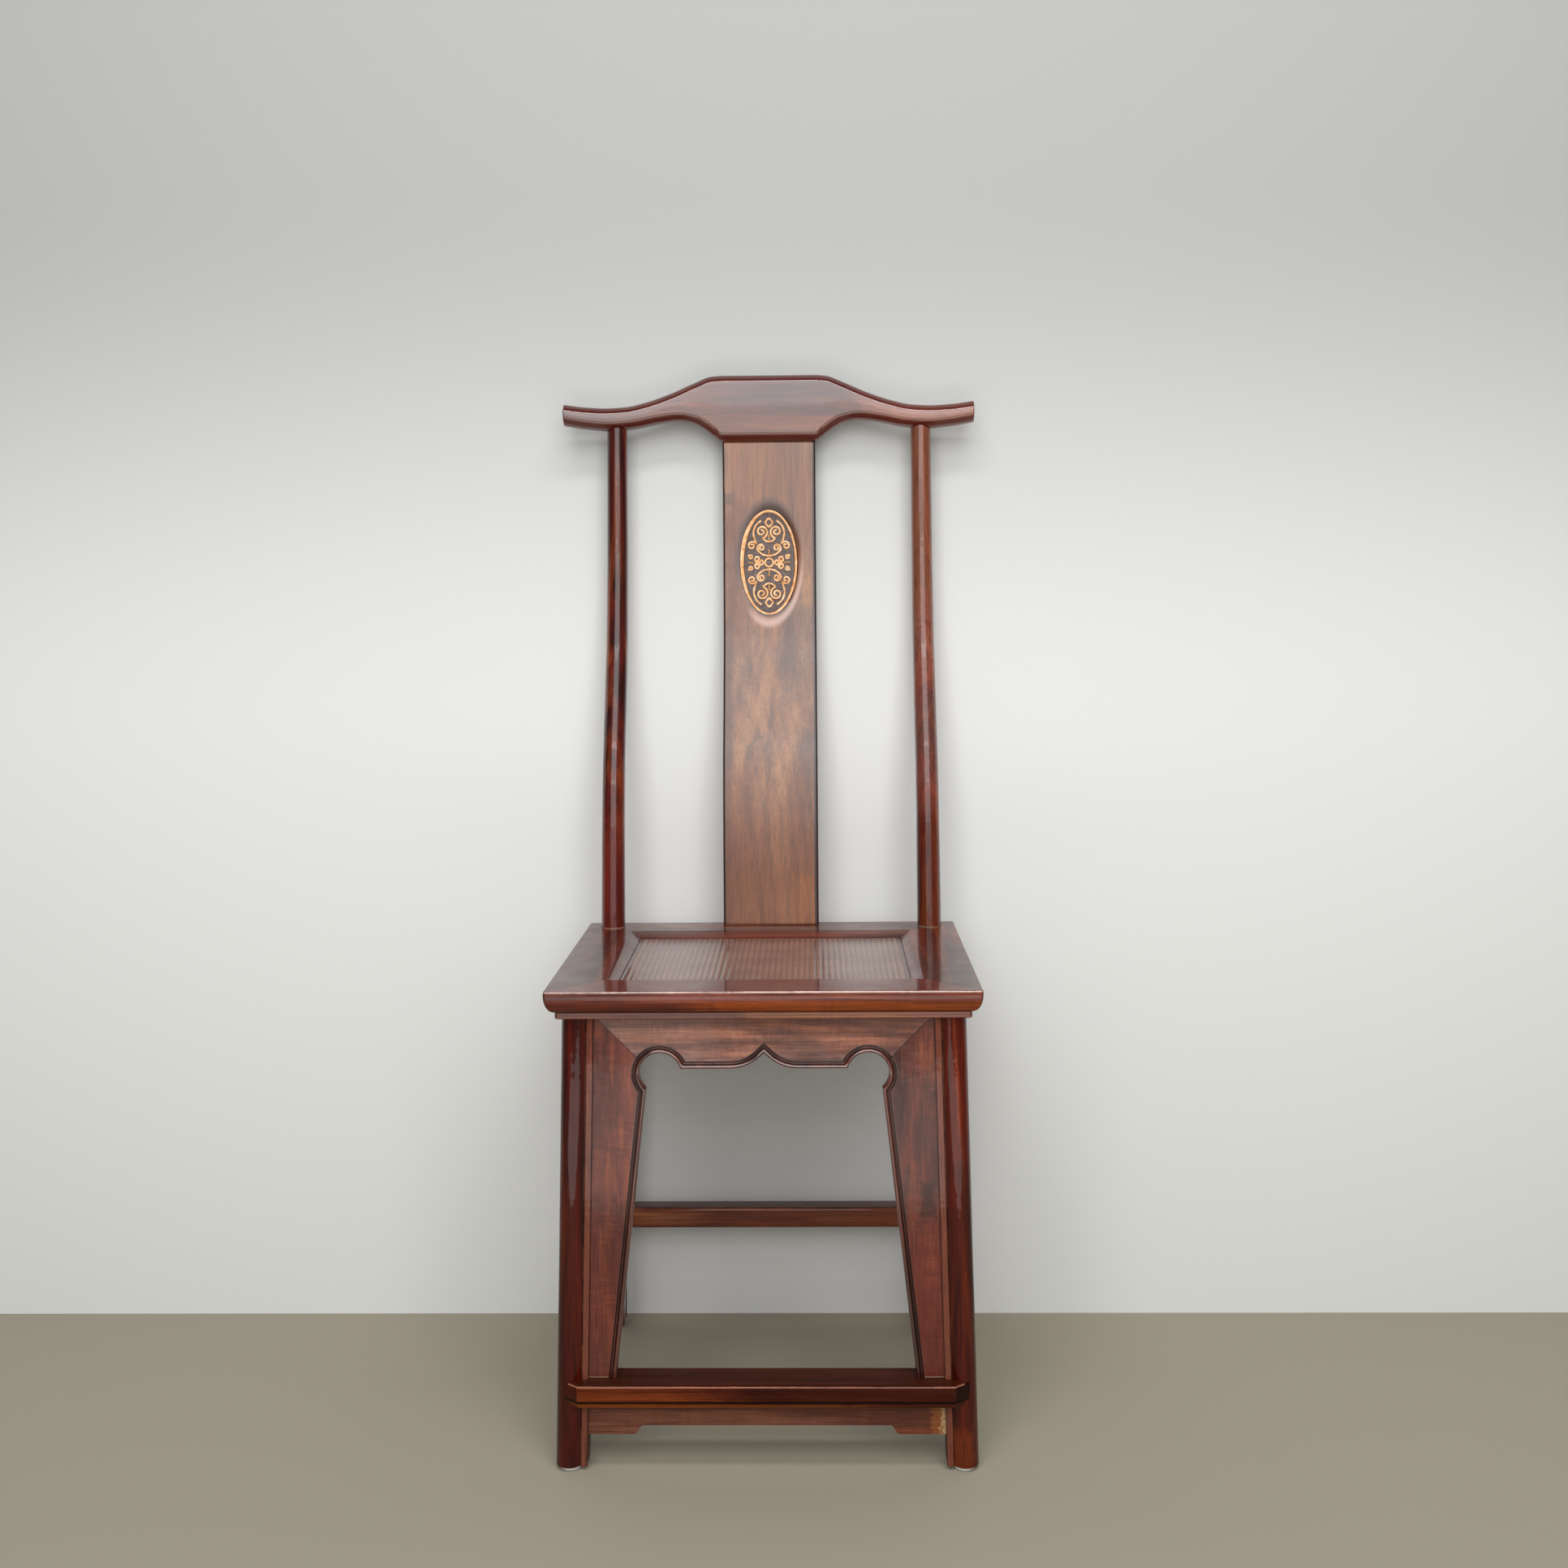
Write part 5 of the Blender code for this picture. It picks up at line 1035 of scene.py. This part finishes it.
glideFinish = speckledFinish("glide plastic", glideLook, lambda spot, colour: colour)
seatMember = {"easing": 0.0009, "segments": 3, "seatMember": True}
moulded = {"easing": 0.0003, "mouldingFinish": lacqueredWood("moulding wood", mouldingLook)}
for side, away, postSide, legSide in (("left", -1, postLook, legLook), ("right", 1, rightPostLook, rightLegLook)):
    dressWood("rear_post_" + side, postSide, "post_lacquered_wood", "z", (away * 0.7, 0.2, 0.5))
    dressWood("front_leg_" + side, legSide, "leg_lacquered_wood", "z", (away * 1.7, 1.2, 0.1))
    dressWood("seat_frame_" + side, seatLook, "frame_lacquered_wood", "y", (0.3, away * 0.9, 0.7), **seatMember)
    dressWood("side_stretcher_" + side, railLook, "rail_lacquered_wood", "y", (away * 0.4, 0.1, 0.2))
    dressWood("front_spandrel_" + side, spandrelLook, "apron_lacquered_wood", "z", (away * 2.3, 0.4, 0.8), **moulded)
    dressWood("side_apron_" + side, apronLook, "apron_lacquered_wood", "y", (0.2, away * 0.5, 0.9))
    for end, lift in (("front", 5.4), ("rear", 4.4)):
        dressWood("side_spandrel_" + side + "_" + end, spandrelLook, "apron_lacquered_wood", "z",
                  (away * 1.3, lift, 0.3))
        dressNode("glide_" + end + "_" + side, glideFinish, "white_plastic")
    dressWood("seat_batten_" + side, innerLook, "unlacquered_wood", "y")
dressWood("seat_frame_front", seatFrontLook, "frame_lacquered_wood", "x", (0.2, 0.5, 0.1), easing=0.0012, segments=4,
          seatMember=True)
dressWood("seat_frame_rear", seatLook, "frame_lacquered_wood", "x", (0.8, 0.1, 0.6), **seatMember)
dressWood("front_apron", apronLook, "apron_lacquered_wood", "x", (0.6, 0.3, 0.2), **moulded)
dressWood("rear_apron", apronLook, "apron_lacquered_wood", "x", (0.1, 0.9, 0.5))
dressWood("footrail_apron", footApronLook, "apron_lacquered_wood", "x", (0.9, 0.6, 0.3))
dressWood("footrail", footrailLook, "rail_lacquered_wood", "x", (0.5, 0.2, 0.9), easing=0.0008, segments=3)
dressWood("rear_stretcher", stretcherLook, "rail_lacquered_wood", "x", (0.4, 0.8, 0.1))
dressWood("seat_board", innerLook, "unlacquered_wood", "y")
print("frame nodes dressed")


# Floor, wall, light and camera

stageLook = {
    # the wall's top colour is painted shade, darker high up
    "floor": "#a39c8c", "wall": "#e6e7e5", "wallShadedTop": "#b2b3b1", "wallFootY": 0.178, "wallLean": 0.062,
    "halfWidth": 4.0, "halfDepth": 5.0, "height": 4.0, "darkerFrom": 0.70, "darkestAt": 1.40,
    "roughness": 0.9, "specular": 0.1,
}


def plainFinish(name, code, topCode=None):
    finish, tree, shader = startFinish(name)
    join(code, shader.inputs["Base Color"])
    join(stageLook["roughness"], shader.inputs["Roughness"])
    setShader(shader, stageLook)
    if topCode:                        # a little darker high up, as painted shade, and clear from behind
        place = tree.nodes.new("ShaderNodeTexCoord").outputs["Object"]
        height = addNode("SeparateXYZ", Vector=place).outputs[2]
        darker = remap(height, stageLook["darkerFrom"], stageLook["darkestAt"])
        join(blend(darker, code, topCode), shader.inputs["Base Color"])
        back = tree.nodes.new("ShaderNodeNewGeometry").outputs["Backfacing"]
        clear = tree.nodes.new("ShaderNodeBsdfTransparent")
        mix = addNode("MixShader", i0=back, i1=shader.outputs[0], i2=clear.outputs[0])
        join(mix.outputs[0], tree.nodes["Material Output"].inputs["Surface"])
    return finish


def stagePlane(name, near, far, finish):
    wide = stageLook["halfWidth"]
    mesh = bmesh.new()
    corners = ((-wide, *near), (wide, *near), (wide, *far), (-wide, *far))
    mesh.faces.new([mesh.verts.new(corner) for corner in corners])
    plane = addMesh(name, mesh, finish)


deep, tall, wallFoot = stageLook["halfDepth"], stageLook["height"], stageLook["wallFootY"]
stagePlane("floor", (-deep, 0.0), (deep, 0.0), plainFinish("plain floor", stageLook["floor"]))
stagePlane("wall", (wallFoot, 0.0), (wallFoot + stageLook["wallLean"] * tall, tall),
           plainFinish("plain wall", stageLook["wall"], stageLook["wallShadedTop"]))

panels = {                             # place, aim, width, height and power
    "high front panel": ((0.10, -2.25, 2.30), (0.10, 0.0, 1.10), 2.6, 1.8, 43.0),
    "middle front panel": ((0.10, -2.42, 1.20), (0.10, 0.0, 0.90), 2.6, 0.55, 9.5),
    "low front panel": ((0.10, -2.46, 0.65), (0.10, 0.0, 0.60), 2.6, 0.6, 6.0),
    "bright strip": ((0.10, -2.20, 2.05), (0.10, 0.0, 0.80), 2.6, 0.08, 2.0),
    "overhead panel": ((0.10, -1.30, 3.20), (0.0, 0.0, 0.70), 2.4, 0.32, 28.0),
    "floor glow": ((-0.10, -1.80, 0.012), (-0.10, -1.80, 1.0), 2.4, 1.2, 14.0),
}
for name, (place, aim, width, height, power) in panels.items():
    lamp = bpy.data.lights.new(name, 'AREA')
    lamp.shape = 'RECTANGLE'
    lamp.size, lamp.size_y, lamp.energy = width, height, power
    light = addObject(name, lamp)
    light.location = place
    light.rotation_euler = (Vector(aim) - Vector(place)).to_track_quat('-Z', 'Y').to_euler()
    light.visible_camera = False

roomLook = {"colour": "#e9ebea", "light": 0.26, "addedInShine": -0.18, "addedInView": 0.60}
world = bpy.data.worlds.new("room")
bpy.context.scene.world = world
world.use_nodes = True
roomTree = world.node_tree
roomShade = roomTree.nodes["Background"]
ray = roomTree.nodes.new("ShaderNodeLightPath")
join(roomLook["colour"], roomShade.inputs["Color"])
shine = maths('MULTIPLY_ADD', ray.outputs["Is Glossy Ray"], roomLook["addedInShine"], roomLook["light"])
seen = maths('MULTIPLY_ADD', ray.outputs["Is Camera Ray"], roomLook["addedInView"], shine)
join(seen, roomShade.inputs["Strength"])

cameraView = {"place": (0.0532, seatMiddle - 1.8872, 0.8801), "yaw": 0.0178, "pitch": 0.1021, "roll": -0.0080,
              "lens": 40.06}
lens = bpy.data.cameras.new("camera")
lens.sensor_width, lens.lens = 36.0, cameraView["lens"]
camera = addObject("camera", lens)
yaw, tilt, roll = (Matrix.Rotation(angle, 4, axis) for angle, axis in (
    (cameraView["yaw"], 'Z'), (math.pi / 2 - cameraView["pitch"], 'X'), (cameraView["roll"], 'Z')))
camera.matrix_world = Matrix.Translation(cameraView["place"]) @ yaw @ tilt @ roll
bpy.context.scene.camera = camera
bpy.context.scene.view_settings.view_transform = 'Standard'
print("stage, light and camera set")
